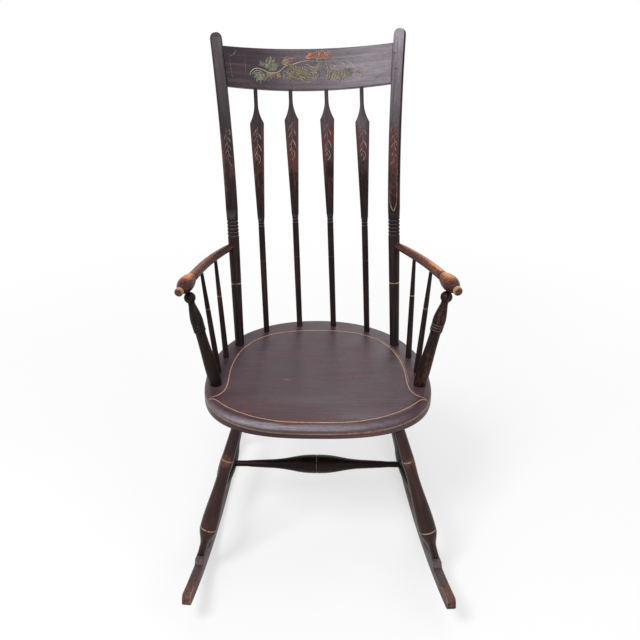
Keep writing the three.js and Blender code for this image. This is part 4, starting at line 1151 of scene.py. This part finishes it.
stems = [
    line(1.0, (-139, -18), (-137, -11), (-130, -4), (-120, -1.5), (-109, -4.5), (-97, -9), (-86, -11.5),
         (-76, -10.5), (-67, -6), (-59, 1), (-51, 6.5), (-36, 9.5), (-23, 14), (-8, 17), (4, 17.5)),
    line(0.7, (-135, -16), (-130, -11), (-122, -6), (-114, -8), (-107, -13.5)),
    line(0.6, (-62, 8), (-54, 18), (-44, 22.5), (-34, 24), (-28, 20)),
    line(0.6, (-59, -6), (-50, -9), (-40, -15), (-34, -24)),
    line(0.7, (62, 4), (72, 9.5), (83, 8), (89, 1), (93, -7)),
    line(0.8, (90, 12), (99, 9.5), (106, 2), (113, -5), (123, -13), (127, -22), (123, -31), (118, -39)),
    line(0.7, (48, -5), (56, -2.5), (65, -4), (73, -10)),
    line(0.7, (47, -10), (55, -9.5), (59, -16.5), (55, -28)),
    line(0.6, (40, 12), (45, 4), (46, -8), (42, -24)),
]
for i in range(7):
    drop, slide = 5.6 * i, 2.4 * i
    stems.append(line(
        0.62 - 0.03 * i, (-12 - slide, 10 - drop), (-2 - slide, 8.5 - drop), (6 - slide, 3.5 - drop),
        (15 - slide, 1 - drop), (22 - 0.5 * slide, 7 - drop), (28 - 0.3 * slide, 14 - drop),
    ))
for i in range(6):
    stems.append(line(
        0.55, (-46 + 7 * i, 5 + 0.8 * i), (-41 + 7 * i, -2), (-42 + 6.5 * i, -12), (-50 + 6 * i, -22),
        (-56 + 6 * i, -27),
    ))
for i in range(4):
    stems.append(line(0.5, (62 + 7 * i, -6), (66 + 7 * i, -14), (63 + 7 * i, -22), (58 + 7 * i, -28)))
    x = 8 * i - 118
    stems.append(line(0.5, (x, -10), (x + 5, -17), (x + 2, -25), (x - 3, -30)))
for i in range(3):
    stems.append(line(0.45, (-97 + 6 * i, 5), (-101 + 8 * i, 12), (-98 + 8 * i, 19), (-92 + 6 * i, 25)))
fruit = [
    dab(-0.0065, 0.0235, 0.0060, 0.0305, 0.0036), dab(-0.0040, 0.0215, 0.0110, 0.0245, 0.0026),
    dab(0.0010, 0.0270, 0.0120, 0.0345, 0.0030), dab(-0.0010, 0.0290, 0.0060, 0.0355, 0.0022),
]
petals = [
    line(0.8, (12, 25), (13, 33), (19, 38), (25, 36), (24, 28), (17, 24)),
    line(0.8, (26, 25), (27, 35), (33, 40), (39, 37), (38, 29), (31, 24)),
    line(0.7, (40, 25), (42, 34), (48, 37), (53, 32), (51, 25)),
    line(0.7, (8, 24), (16, 29), (24, 33)), line(0.7, (14, 23), (28, 22), (42, 23), (56, 25)),
    dab(0.0160, 0.0270, 0.0220, 0.0350, 0.0014), dab(0.0300, 0.0270, 0.0360, 0.0360, 0.0014),
    dab(0.0430, 0.0270, 0.0490, 0.0330, 0.0012),
]
blush = (
    lobed(19, 23, 88, 15, 3.6, 5, 46)
    + lobed(33, 23, 88, 16, 3.6, 5, 46)
    + lobed(47, 23, 80, 13, 3.2, 5, 50)
)
under_fruit = [
    dab(0.0280, 0.0150, 0.0415, 0.0150, 0.0042), dab(0.0300, 0.0180, 0.0400, 0.0110, 0.0026),
]
beside_fruit = [dab(0.0070, 0.0130, 0.0290, 0.0175, 0.0042), dab(0.0120, 0.0180, 0.0260, 0.0130, 0.0026)]
frame_lines = [
    line(0.55, (-152, 29), (-150.5, 6), (-148, -24)),
    line(0.5, (-188, 18), (-184.5, -6), (-180.5, -29)),
    line(0.7, (-172.6, 41), (-174.5, 33), (-181, 25), (-189, 21.5)),
    line(0.5, (137.5, 11), (137.5, -15)),
    line(0.5, (179, 20), (180, -18)),
    line(0.5, (42, 16.3), (70, 14), (105, 12.6)),
]
low_curls = [
    line(0.7, (-168, -38), (-160, -34), (-153, -38), (-156, -42)),
    line(0.8, (-153, -39), (-145, -33), (-137, -35), (-134, -41)),
    line(0.6, (-140, -40), (-133, -36), (-126, -38), (-123, -42)),
]
crest_paintings = [
    brush(f"crest_{name}", strokes, finish, crest_thickness / 2 + 1e-5 * lift, step=0.0025)
    for name, strokes, finish, lift in (  # the lift is in hundredths of a millimetre
        ("green_leaves", green_leaves,
         brushed("leaf_green", (0.235, 0.25, 0.165), (0.12, 0.125, 0.09), 0.54, 0.4), 3),
        ("grey_leaves", grey_leaves + beside_fruit,
         brushed("leaf_grey", (0.2, 0.195, 0.17), (0.11, 0.105, 0.095), 0.48, 0.4), 4),
        ("olive_leaves", olive_leaves + under_fruit,
         brushed("leaf_olive", (0.25, 0.22, 0.14), (0.13, 0.11, 0.075), 0.53, 0.4), 6),
        ("tan_leaves", tan_leaves, leaf_tan, 8),
        ("ribs", ribs, brushed("dark_rib", (0.07, 0.052, 0.042), (0.04, 0.032, 0.03), 0.5, 0.25), 22),
        ("stems", stems, brushed("fine_gold", (0.47, 0.38, 0.27), (0.26, 0.2, 0.145), 0.64, 0.25), 26),
        ("fruit", fruit, brushed("fruit_orange", (0.6, 0.22, 0.1), (0.4, 0.14, 0.08), 0.6, 0.3), 16),
        ("blush", blush, brushed("soft_orange", (0.4, 0.17, 0.11), (0.22, 0.1, 0.08), 0.47, 0.45), 10),
        ("petals", petals, brushed("faded_orange", (0.58, 0.3, 0.21), (0.38, 0.19, 0.14), 0.56, 0.3), 18),
        ("lines", frame_lines, brushed("faint_line", (0.24, 0.2, 0.18), (0.14, 0.11, 0.1), 0.52, 0.2), 5),
        ("curls", low_curls, brushed("low_red", (0.19, 0.09, 0.065), (0.1, 0.05, 0.04), 0.56, 0.25), 5),
    )
]
crest_across = [-crest_half + 2 * crest_half * i / 96 for i in range(97)]
crest_path = [Vector((x, behind_ends(x), 0)) for x in crest_across]
for piece in (crest, *crest_paintings):
    stand_up(piece, 0.0)
    piece.data.transform(Matrix.Translation((round_crest(crest_half), 0, 0)))
bend_along([crest, *crest_paintings], crest_path, "POS_X")
for piece in (crest, *crest_paintings):
    piece.rotation_euler = (-crest_rake, 0, 0)
    piece.location = (crest_middle_x, crest_end.y, crest_height)
    settle(piece)
fit(crest, "crest_paint", "crest_rail")
for painting in crest_paintings:
    fit(painting, "crest_paint")

# The pegs: whittled pins with slightly domed heads, driven through the stiles' flat fronts.
pin = [(-0.0007, 0.0009), (-0.0006, 0.0017), (-0.0002, 0.0025), (0.0004, 0.0028), (0.009, 0.0028)]
for side, hand in sides:
    middle = stile_point(side, crest_height + 0.018)
    middle.x -= side * (stile_half - 0.0045)
    front = middle - Vector((0, math.cos(crest_rake), -math.sin(crest_rake))) * stile_flat
    peg = turn(f"crest_peg_{hand}_pin", pin, 20)
    note_grain(peg, side)
    note_wear(peg, lambda vertex: 0.45)
    # Painted sheen: pale on the right peg, faint on the left
    note_wear(peg, lambda vertex: 0.5 if hand == "right" else 0.1, "painted_sheen")
    coat(peg, dark_paint)
    set_between(peg, front, middle)
    fit(peg, "dark_paint", f"crest_peg_{hand}")

# ----------------------------------------
# The four arrow spindles: round below with scored rings, then shaved to a flat blade that widens
# to shoulders and pinches to a round neck. Each blade is gilded with a fern over a small hook.

rod, blade_depth, blade_flat, neck = 0.0074, 0.007, 0.0041, 0.0046
arrow_rings = (0.657, 0.664)


def crest_foot_of(x):
    """Where an arrow spindle meets the crest's lower edge."""
    behind, low = behind_ends(x), crest_low_edge(x)
    return Vector((
        crest_middle_x + x,
        crest_end.y + behind * math.cos(crest_rake) + low * math.sin(crest_rake),
        crest_height - behind * math.sin(crest_rake) + low * math.cos(crest_rake),
    ))


def arrow_point(x, foot_y, height):
    """The middle of an arrow spindle at a height: from the seat to the crest, bowed forwards."""
    end = crest_foot_of(x)
    share = (height - seat_top) / (end.z - seat_top)
    bow = 0.009 * 4 * share * (1 - share)
    return Vector((x + (end.x - x) * share, foot_y + (end.y - foot_y) * share - bow, height))


arrow_heights = [seat_top - 0.02 + (crest_height - 0.014 - seat_top) * i / 80 for i in range(81)]
middle_arrow = [arrow_point(0.042, 0.204, height) for height in arrow_heights]
up_arrow = partial(between, list(zip(arrow_heights, lengths_along(middle_arrow))))

stations = [(seat_top - 0.02, 0.0068), (seat_top, 0.0068)]
stations += run((seat_top, 0.0068), (0.5731, rod), 6, ease=False) + [(0.574, 0.0065), (0.5749, rod)]
stations += run((0.5749, rod), (0.6548, rod), 4, ease=False)
for ring in arrow_rings:
    stations += [(ring - 0.0012, rod), (ring, 0.0063), (ring + 0.0012, rod)]
stations = [(up_arrow(height), radius, radius) for height, radius in [*stations, (0.6675, rod)]]
run_out, at_blade, at_shoulder, at_neck, crest_foot = map(
    up_arrow, (0.6675, 0.678, crest_height - 0.126, crest_height - 0.084, crest_foot_of(0.042).z)
)
stations += run((run_out, rod, rod), (at_blade, 0.0086, blade_depth), 5)
stations += run((at_blade, 0.0086, blade_depth), (at_shoulder, 0.0166, blade_depth), 18, ease=False)
stations += shaped(14, lambda share: (
    at_shoulder + (at_neck - at_shoulder) * share,
    neck + 0.012 * (1 - share) ** 2,
    neck + 0.0024 * (1 - share) ** 2,
))
stations += run((at_neck, neck, neck), (crest_foot + 0.012, neck, neck), 4, ease=False)
arrow_blank = turn("arrow", stations)


def blade_face(place):
    """How far a blade's flat lies from its middle: it runs out below, and into the neck above."""
    if place <= at_blade:
        return rod - (rod - blade_flat) * math.sin(past(place, run_out, at_blade - run_out) * math.pi / 2)
    return blade_flat + (neck - blade_flat) * past(place, at_shoulder, at_neck - at_shoulder)


flats = [(place, 1.0, blade_face(place)) for place, *sizes in stations if run_out < place <= at_neck]
shave(arrow_blank, flats, faces=(-1, 1))
coat(arrow_blank, stile_paint, faded_line, ring_highlight)
line_ring(arrow_blank, up_arrow(0.574), up_arrow(0.5751))
# Painted ring highlights on the upward flanks of the arrows' rings
for ring in arrow_rings:
    line_ring(arrow_blank, up_arrow(ring - 0.0013), up_arrow(ring), 2)

upper_leaves = [
    [(0.0024, 0.8880, 0.0002), (-0.0008, 0.8700, 0.0004), (0.0, 0.8490, 0.0004), (-0.0026, 0.8310, 0.0004),
     (-0.0008, 0.8160, 0.0004), (0.0014, 0.8040, 0.0003)],
    dab(0.0020, 0.8850, -0.0085, 0.8670, 0.0009, -0.06),
    dab(0.0018, 0.8720, 0.0086, 0.8565, 0.0012),
    dab(-0.0006, 0.8660, -0.0082, 0.8510, 0.0009, -0.06),
    dab(-0.0010, 0.8440, -0.0080, 0.8300, 0.0009, -0.06),
]
lower_leaves = [
    dab(-0.0018, 0.8320, -0.0068, 0.8208, 0.0012, -0.06),
    dab(-0.0006, 0.8256, 0.0058, 0.8152, 0.0009),
    dab(-0.0016, 0.8208, -0.0054, 0.8120, 0.0008, -0.06),
    [(0.0046, 0.8200, 0.0003), (0.0048, 0.8128, 0.0008), (0.0024, 0.8068, 0.0010), (-0.0026, 0.8028, 0.0004)],
]
bright_leaf = [dab(-0.0002, 0.8490, 0.0080, 0.8310, 0.0011)]
leaf_bright = brushed("leaf_bright", (0.42, 0.32, 0.25), (0.26, 0.185, 0.14), 0.62, 0.25)
arrow_worn = [
    (0.0, 0.12), (0.2, 0.22), (0.27, 0.26), (0.3, 0.2), (0.36, 0.32), (0.42, 0.48), (0.48, 0.48),
    (0.54, 0.24), (0.62, 0.16),
]
for number, (x, foot_y) in enumerate(((-0.1235, 0.176), (-0.042, 0.204), (0.042, 0.204), (0.1235, 0.176)), 1):
    arrow = copy_of(arrow_blank, f"arrow_{number}_spindle")
    note_grain(arrow, 0.57 * number)
    # Painted sheen on the front of each blade, stronger on each arrow further to the right
    painted_sheen = [(0.4, 0.0), (0.46, 0.04 * number), (0.52, 0.065 * number), (0.6, 0.03 * number)]
    note_wear(arrow, lambda v: between(arrow_worn, v.co.z) + 0.3 * past(abs(v.co.x) / 0.012, 0.6))
    note_wear(arrow, lambda v: between(painted_sheen, v.co.z) * (v.co.y < 0), "painted_sheen")
    down = 0.0 if number == 4 else 0.004 + 0.002 * (number % 2)
    paintings = []
    for name, strokes, finish in (
        ("upper_leaves", upper_leaves, leaf_pink),
        ("lower_leaves", lower_leaves, leaf_tan),
        ("bright_leaf", bright_leaf, leaf_bright),
    ):
        strokes = [[(aside, up_arrow(z - down), w) for aside, z, w in stroke] for stroke in strokes]
        paintings.append(brush(f"arrow_{number}_{name}", strokes, finish))
        stand_up(paintings[-1], blade_flat + paint_proud)
    bend_along([arrow, *paintings], [arrow_point(x, foot_y, height) for height in arrow_heights])
    fit(arrow, "dark_paint", f"arrow_spindle_{number}")
    for painting in paintings:
        fit(painting, "dark_paint")
bpy.data.objects.remove(arrow_blank)

# ----------------------------------------
# The two arms: turned, then steamed to a bow. Each swells over its post and ends in a button,
# and its paint is rubbed through to orange wood where hands have held it.

arm_rear_height, arm_front_height = 0.630, 0.638
post_foot, post_top = (0.225, -0.068, seat_top), (0.279, -0.046, arm_front_height)
arm_tip = (0.290, -0.088, arm_front_height)
groove_from_tip, button_round = 0.084, 0.0040


def arm_path(side):
    """The arm's bow: out of the stile at an angle, then forwards over the post to its tip."""
    angle = math.radians(33)
    rear_way = Vector((side * math.sin(angle), -math.cos(angle), 0))
    rear = stile_point(side, arm_rear_height) + rear_way * ringed
    tip = Vector((side * arm_tip[0], arm_tip[1], arm_tip[2]))
    post_way = Vector((side * (arm_tip[0] - post_top[0]), arm_tip[1] - post_top[1], 0)).normalized()
    distance = (tip - rear).length
    rear_handle = rear + rear_way * distance * 0.36
    front_handle = tip - post_way * distance * 0.4
    return [
        rear * (1 - t) ** 3 + rear_handle * 3 * t * (1 - t) ** 2
        + front_handle * 3 * t**2 * (1 - t) + tip * t**3
        for t in (i / 120 for i in range(121))
    ]


def turn_arm(name, length):
    """An arm's straight blank, from inside the stile to its button."""
    groove = length - groove_from_tip
    profile = [(-0.009, 0.0070), (0.001, 0.0078), (0.005, 0.0082)]
    profile += shaped(16, lambda share: (
        0.005 + (groove - 0.009) * share, 0.0082 + 0.0028 * math.sqrt(share)
    ))
    profile += [(groove - 0.0022, 0.0110), (groove - 0.0012, 0.0098)]
    profile += [(groove + 0.0012, 0.0098), (groove + 0.0022, 0.0108)]
    profile += shaped(10, lambda share: (
        groove + 0.0022 + (0.041 - 0.0022) * share, 0.0108 + 0.0068 * math.sin(share * math.pi / 2)
    ))
    profile += shaped(9, lambda share: (
        length - 0.043 + 0.0295 * share, 0.0081 + 0.0095 * math.cos(share * math.pi / 2)
    ))
    profile += [(length - 0.0122, 0.0078), (length - 0.0106, 0.0092), (length - 0.0088, 0.0095)]
    profile += [
        (length - button_round + button_round * math.sin(angle), 0.0055 + button_round * math.cos(angle))
        for angle in map(math.radians, (0, 20, 40, 60, 78, 90))
    ]
    return turn(name, profile)


arm_paint = painted(
    "arm_paint", (0.036, 0.0125, 0.0095), (0.155, 0.04, 0.02), (0.6, 0.21, 0.05), graining=0.7, fineness=1.7,
    mottling=0.4, crazing=0.9, dullness=0.24, relief=0.4, specular=0.24,
)
button_paint = painted(
    "button_paint", (0.4, 0.23, 0.11), (0.25, 0.105, 0.04), (0.07, 0.022, 0.011), graining=0.4, fineness=1.5,
    dullness=0.26, specular=0.35,
)
worn_from_tip = [
    (0.0, 1.25), (0.0006, 0.9), (0.0018, 0.5), (0.0115, 0.3), (0.0135, 0.3), (0.024, 0.42), (0.036, 0.74),
    (0.05, 1.04), (0.08, 1.08), (0.086, 0.85), (0.1, 1.02), (0.14, 0.94), (0.17, 0.7), (0.21, 0.56),
    (0.34, 0.46),
]
for side, hand in sides:
    path = arm_path(side)
    length = lengths_along(path)[-1]
    groove = length - groove_from_tip
    arm = turn_arm(f"arm_{hand}_turning", length)
    note_grain(arm, 0.8 * side + 3)
    coat(arm, arm_paint, dark_paint, button_paint)
    line_ring(arm, groove - 0.0011, groove + 0.0011)
    line_ring(arm, length - 0.0140, length - 0.0120)
    line_ring(arm, length - 0.0120, length + 0.001, 2)
    from_tip = iter([length - vertex.co.z for vertex in arm.data.vertices])
    bend_along([arm], path)

    def arm_rubbing(vertex):
        """Rubbed on top and outside, and hardly at all inside and underneath."""
        away = next(from_tip)
        worn = between(worn_from_tip, away)
        if away < 0.0125:
            return worn
        if hand == "left":
            worn = min(worn, 1.04 if away < 0.09 else 0.64)
        facing = 0.8 * vertex.normal.z + 0.45 * side * vertex.normal.x
        return worn * (0.3 + 0.7 * past(0.42 + 0.75 * facing, 0.0))

    note_wear(arm, arm_rubbing)
    fit(arm, "worn_paint", f"arm_{hand}")

# ----------------------------------------
# The two arm posts: a flared foot in the seat, three scored rings, a swelling, a thin neck and a
# ball right under the arm, into which the post's pin goes. Only the right one's rings carry a pale
# line on their upward flanks, partly lining and partly painted highlight; the left one's stay dark.

ball_radius, post_ringed, post_swell = 0.0128, 0.0136, 0.0140
taper = [
    (0.0, post_swell), (0.15, 0.0138), (0.3, 0.0131), (0.5, 0.0118), (0.7, 0.0102), (0.85, 0.0089), (1.0, 0.0077),
]
# Partly lining and partly painted highlight: a dim pale line on the upward flank of the right post's rings
ring_line_and_highlight = lined(
    "ring_line_and_highlight", (0.085, 0.06, 0.05), (0.05, 0.03, 0.024), (0.016, 0.009, 0.008), mottling=0.6, rubbed=0.44
)
for side, hand in sides:
    foot, top = (Vector((side * x, y, z)) for x, y, z in (post_foot, post_top))
    length = (top - foot).length
    ball = length - 0.0176 - ball_radius - 0.0006
    thin = ball - ball_radius - 0.0032
    ring_top, ring_foot = thin - 0.044, thin - 0.062
    rings = [ring_foot + (i + 0.5) * 0.006 for i in range(3)]
    profile = [(-0.015, 0.0115), (0.0, 0.0125), (0.004, 0.0138), (0.012, 0.0143), (0.023, 0.0144)]
    profile += run((0.023, 0.0144), (ring_foot - 0.006, 0.0114), 10)
    profile += run((ring_foot - 0.006, 0.0114), (ring_foot, post_ringed), 4)
    for ring in rings:
        profile += [(ring - 0.0014, post_ringed), (ring, 0.0124), (ring + 0.0014, post_ringed)]
    profile += [(ring_top, post_ringed), (ring_top + 0.003, post_swell)]
    profile += shaped(12, lambda share: (
        ring_top + 0.003 + (thin - ring_top - 0.003) * share, between(taper, share)
    ))
    profile += [
        (ball + ball_radius * math.sin(angle), ball_radius * math.cos(angle))
        for angle in map(math.radians, (-53, -42, -30, -15, 0, 15, 30, 45, 60, 72))
    ]
    profile += [(ball + ball_radius, 0.0042), (length - 0.004, 0.0042)]
    post = turn(f"arm_post_{hand}_turning", profile)
    coat(post, dark_paint, ring_line_and_highlight if hand == "right" else dark_paint)
    for ring in rings:
        line_ring(post, ring - 0.0014, ring)
    note_grain(post, 1.1 * side + 5)
    wear = [(0.0, 0.1), (0.03, 0.22), (0.1, 0.16), (ring_foot, 0.28), (ring_top, 0.34), (thin, 0.22),
            (ball, 0.32), (length, 0.1)]

    def post_wear_and_light(vertex):
        """Rubbed evenly; the right post is made paler all over as painted light, most on the left side of its
        foot.
        """
        lit_left_of_foot = (vertex.co.z < 0.11) * max(0.0, -vertex.co.x / 0.014)
        # The right post's extra paleness is painted light on its lit side
        return between(wear, vertex.co.z) + (0.2 if hand == "right" else 0.0) * (0.4 + lit_left_of_foot)

    note_wear(post, post_wear_and_light)
    set_between(post, foot, top)
    fit(post, "dark_paint", f"arm_post_{hand}")

# ----------------------------------------
# The four slim spindles under the arms: whittled fine, with one scored ring and thin tops that
# go up into the arms.

spindle_groove = 0.0012


def along_path(path, share):
    """The place at a share of a path's length."""
    lengths = lengths_along(path)
    for before, after, low, high in zip(path, path[1:], lengths, lengths[1:]):
        if high >= share * lengths[-1]:
            return before + (after - before) * ((share * lengths[-1] - low) / (high - low))


for side, hand in sides:
    for which, foot_x, foot_y, share in (("rear", 0.213, 0.051, 0.235), ("front", 0.2245, -0.015, 0.505)):
        foot, top = Vector((side * foot_x, foot_y, seat_top)), along_path(arm_path(side), share)
        length = (top - foot).length
        ring = (length - 0.011) * 0.64
        profile = [(-0.015, 0.0069), (0.0, 0.0069)]
        profile += run((0.0, 0.0069), (ring - spindle_groove, 0.0057), 6, ease=False)
        profile += [(ring, 0.0047), (ring + spindle_groove, 0.0056)]
        profile += run((ring + spindle_groove, 0.0056), (length - 0.004, 0.0037), 6, ease=False)
        slim = turn(f"arm_spindle_{which}_{hand}_turning", profile, 24)
        note_grain(slim, 0.9 * side + share * 7)
        wear = [(0.0, 0.08), (ring - 0.02, 0.16), (ring, 0.4), (ring + 0.02, 0.16), (length, 0.08)]
        note_wear(slim, lambda vertex: between(wear, vertex.co.z))
        coat(slim, dark_paint, faded_line)
        line_ring(slim, ring - 0.0013, ring + 0.0013)
        set_between(slim, foot, top)
        fit(slim, "dark_paint", f"arm_spindle_{which}_{hand}")

# ----------------------------------------
# The studio: a pale floor, one large soft lamp high on the left, weaker ones on the right and
# behind, and an even white surround. The camera stands where the photograph was taken from.


def seen_directly(tree):
    """One for what the camera sees, also in a mirror or through glass, and none for other light."""
    rays = add_node(tree, "LightPath")
    seen = sum_of(tree, rays["Is Camera Ray"], rays["Is Glossy Ray"], "MAXIMUM")
    return sum_of(tree, seen, rays["Is Transmission Ray"], "MAXIMUM")


bpy.ops.object.select_all(action="DESELECT")
bpy.ops.mesh.primitive_plane_add(size=40, location=(0, 0, -0.0002))
floor = bpy.context.object
floor.name = "studio_floor"
floor_finish, tree = new_finish("studio_floor")
place = add_node(tree, "TexCoord")["Object"]
pale = tinted(tree, noise(tree, place, 3, 2), (0.9, 0.9, 0.9, 1), (0.93, 0.93, 0.93, 1))
matt = {"Base Color": pale, "Roughness": 0.9, "Specular IOR Level": 0.0}
shader = add_node(tree, "BsdfPrincipled", matt)[0]
away = add_node(tree, "VectorMath", {0: place}, operation="LENGTH")["Value"]
faded = spread(tree, eased(tree, away, 0.45, 2.0), 0.58, 1.0, low=0.0, high=1.0)
white = add_node(tree, "Emission", {"Color": (1, 1, 1, 1), "Strength": 1.0})[0]
share = times(tree, seen_directly(tree), faded)
add_node(tree, "OutputMaterial", {0: add_node(tree, "MixShader", {0: share, 1: shader, 2: white})[0]})
coat(floor, floor_finish)

for name, place, aim_height, size, energy in (
    ("lamp_left", (-1.25, -1.75, 2.9), 0.6, 1.0, 66),
    ("lamp_right", (2.3, -1.5, 1.9), 0.5, 1.6, 14),
    ("lamp_back", (0.6, 2.6, 2.2), 0.6, 1.6, 20),
):
    bpy.ops.object.light_add(type="AREA", location=place)
    lamp = bpy.context.object
    lamp.name, lamp.data.size, lamp.data.energy = name, size, energy
    lamp.rotation_mode = "QUATERNION"
    lamp.rotation_quaternion = (Vector((0, 0, aim_height)) - Vector(place)).to_track_quat("-Z", "Y")

surround = bpy.data.worlds.new("surround")
bpy.context.scene.world = surround
surround.use_nodes = True
tree = surround.node_tree
tree.nodes.clear()
strength = sum_of(tree, times(tree, seen_directly(tree), 0.45), 0.55)
white = add_node(tree, "Background", {"Color": (1, 1, 1, 1), "Strength": strength})[0]
add_node(tree, "OutputWorld", {0: white})

yaw, pitch, roll = -0.05717, 0.491, -0.02874
forwards = Vector((math.sin(yaw) * math.cos(pitch), math.cos(yaw) * math.cos(pitch), -math.sin(pitch)))
level = Vector((math.cos(yaw), -math.sin(yaw), 0))
upwards = level.cross(forwards)
rightwards = math.cos(roll) * level + math.sin(roll) * upwards
upwards = math.cos(roll) * upwards - math.sin(roll) * level
bpy.ops.object.camera_add(location=(-0.009093, -1.665, 1.419))
camera = bpy.context.object
camera.name = "camera"
camera.rotation_mode = "QUATERNION"
camera.rotation_quaternion = Matrix((rightwards, upwards, -forwards)).transposed().to_quaternion()
camera.data.sensor_width = 36
camera.data.lens = 47.8125
camera.data.shift_x = 0.078125
bpy.context.scene.camera = camera
bpy.context.scene.view_settings.view_transform = "Standard"
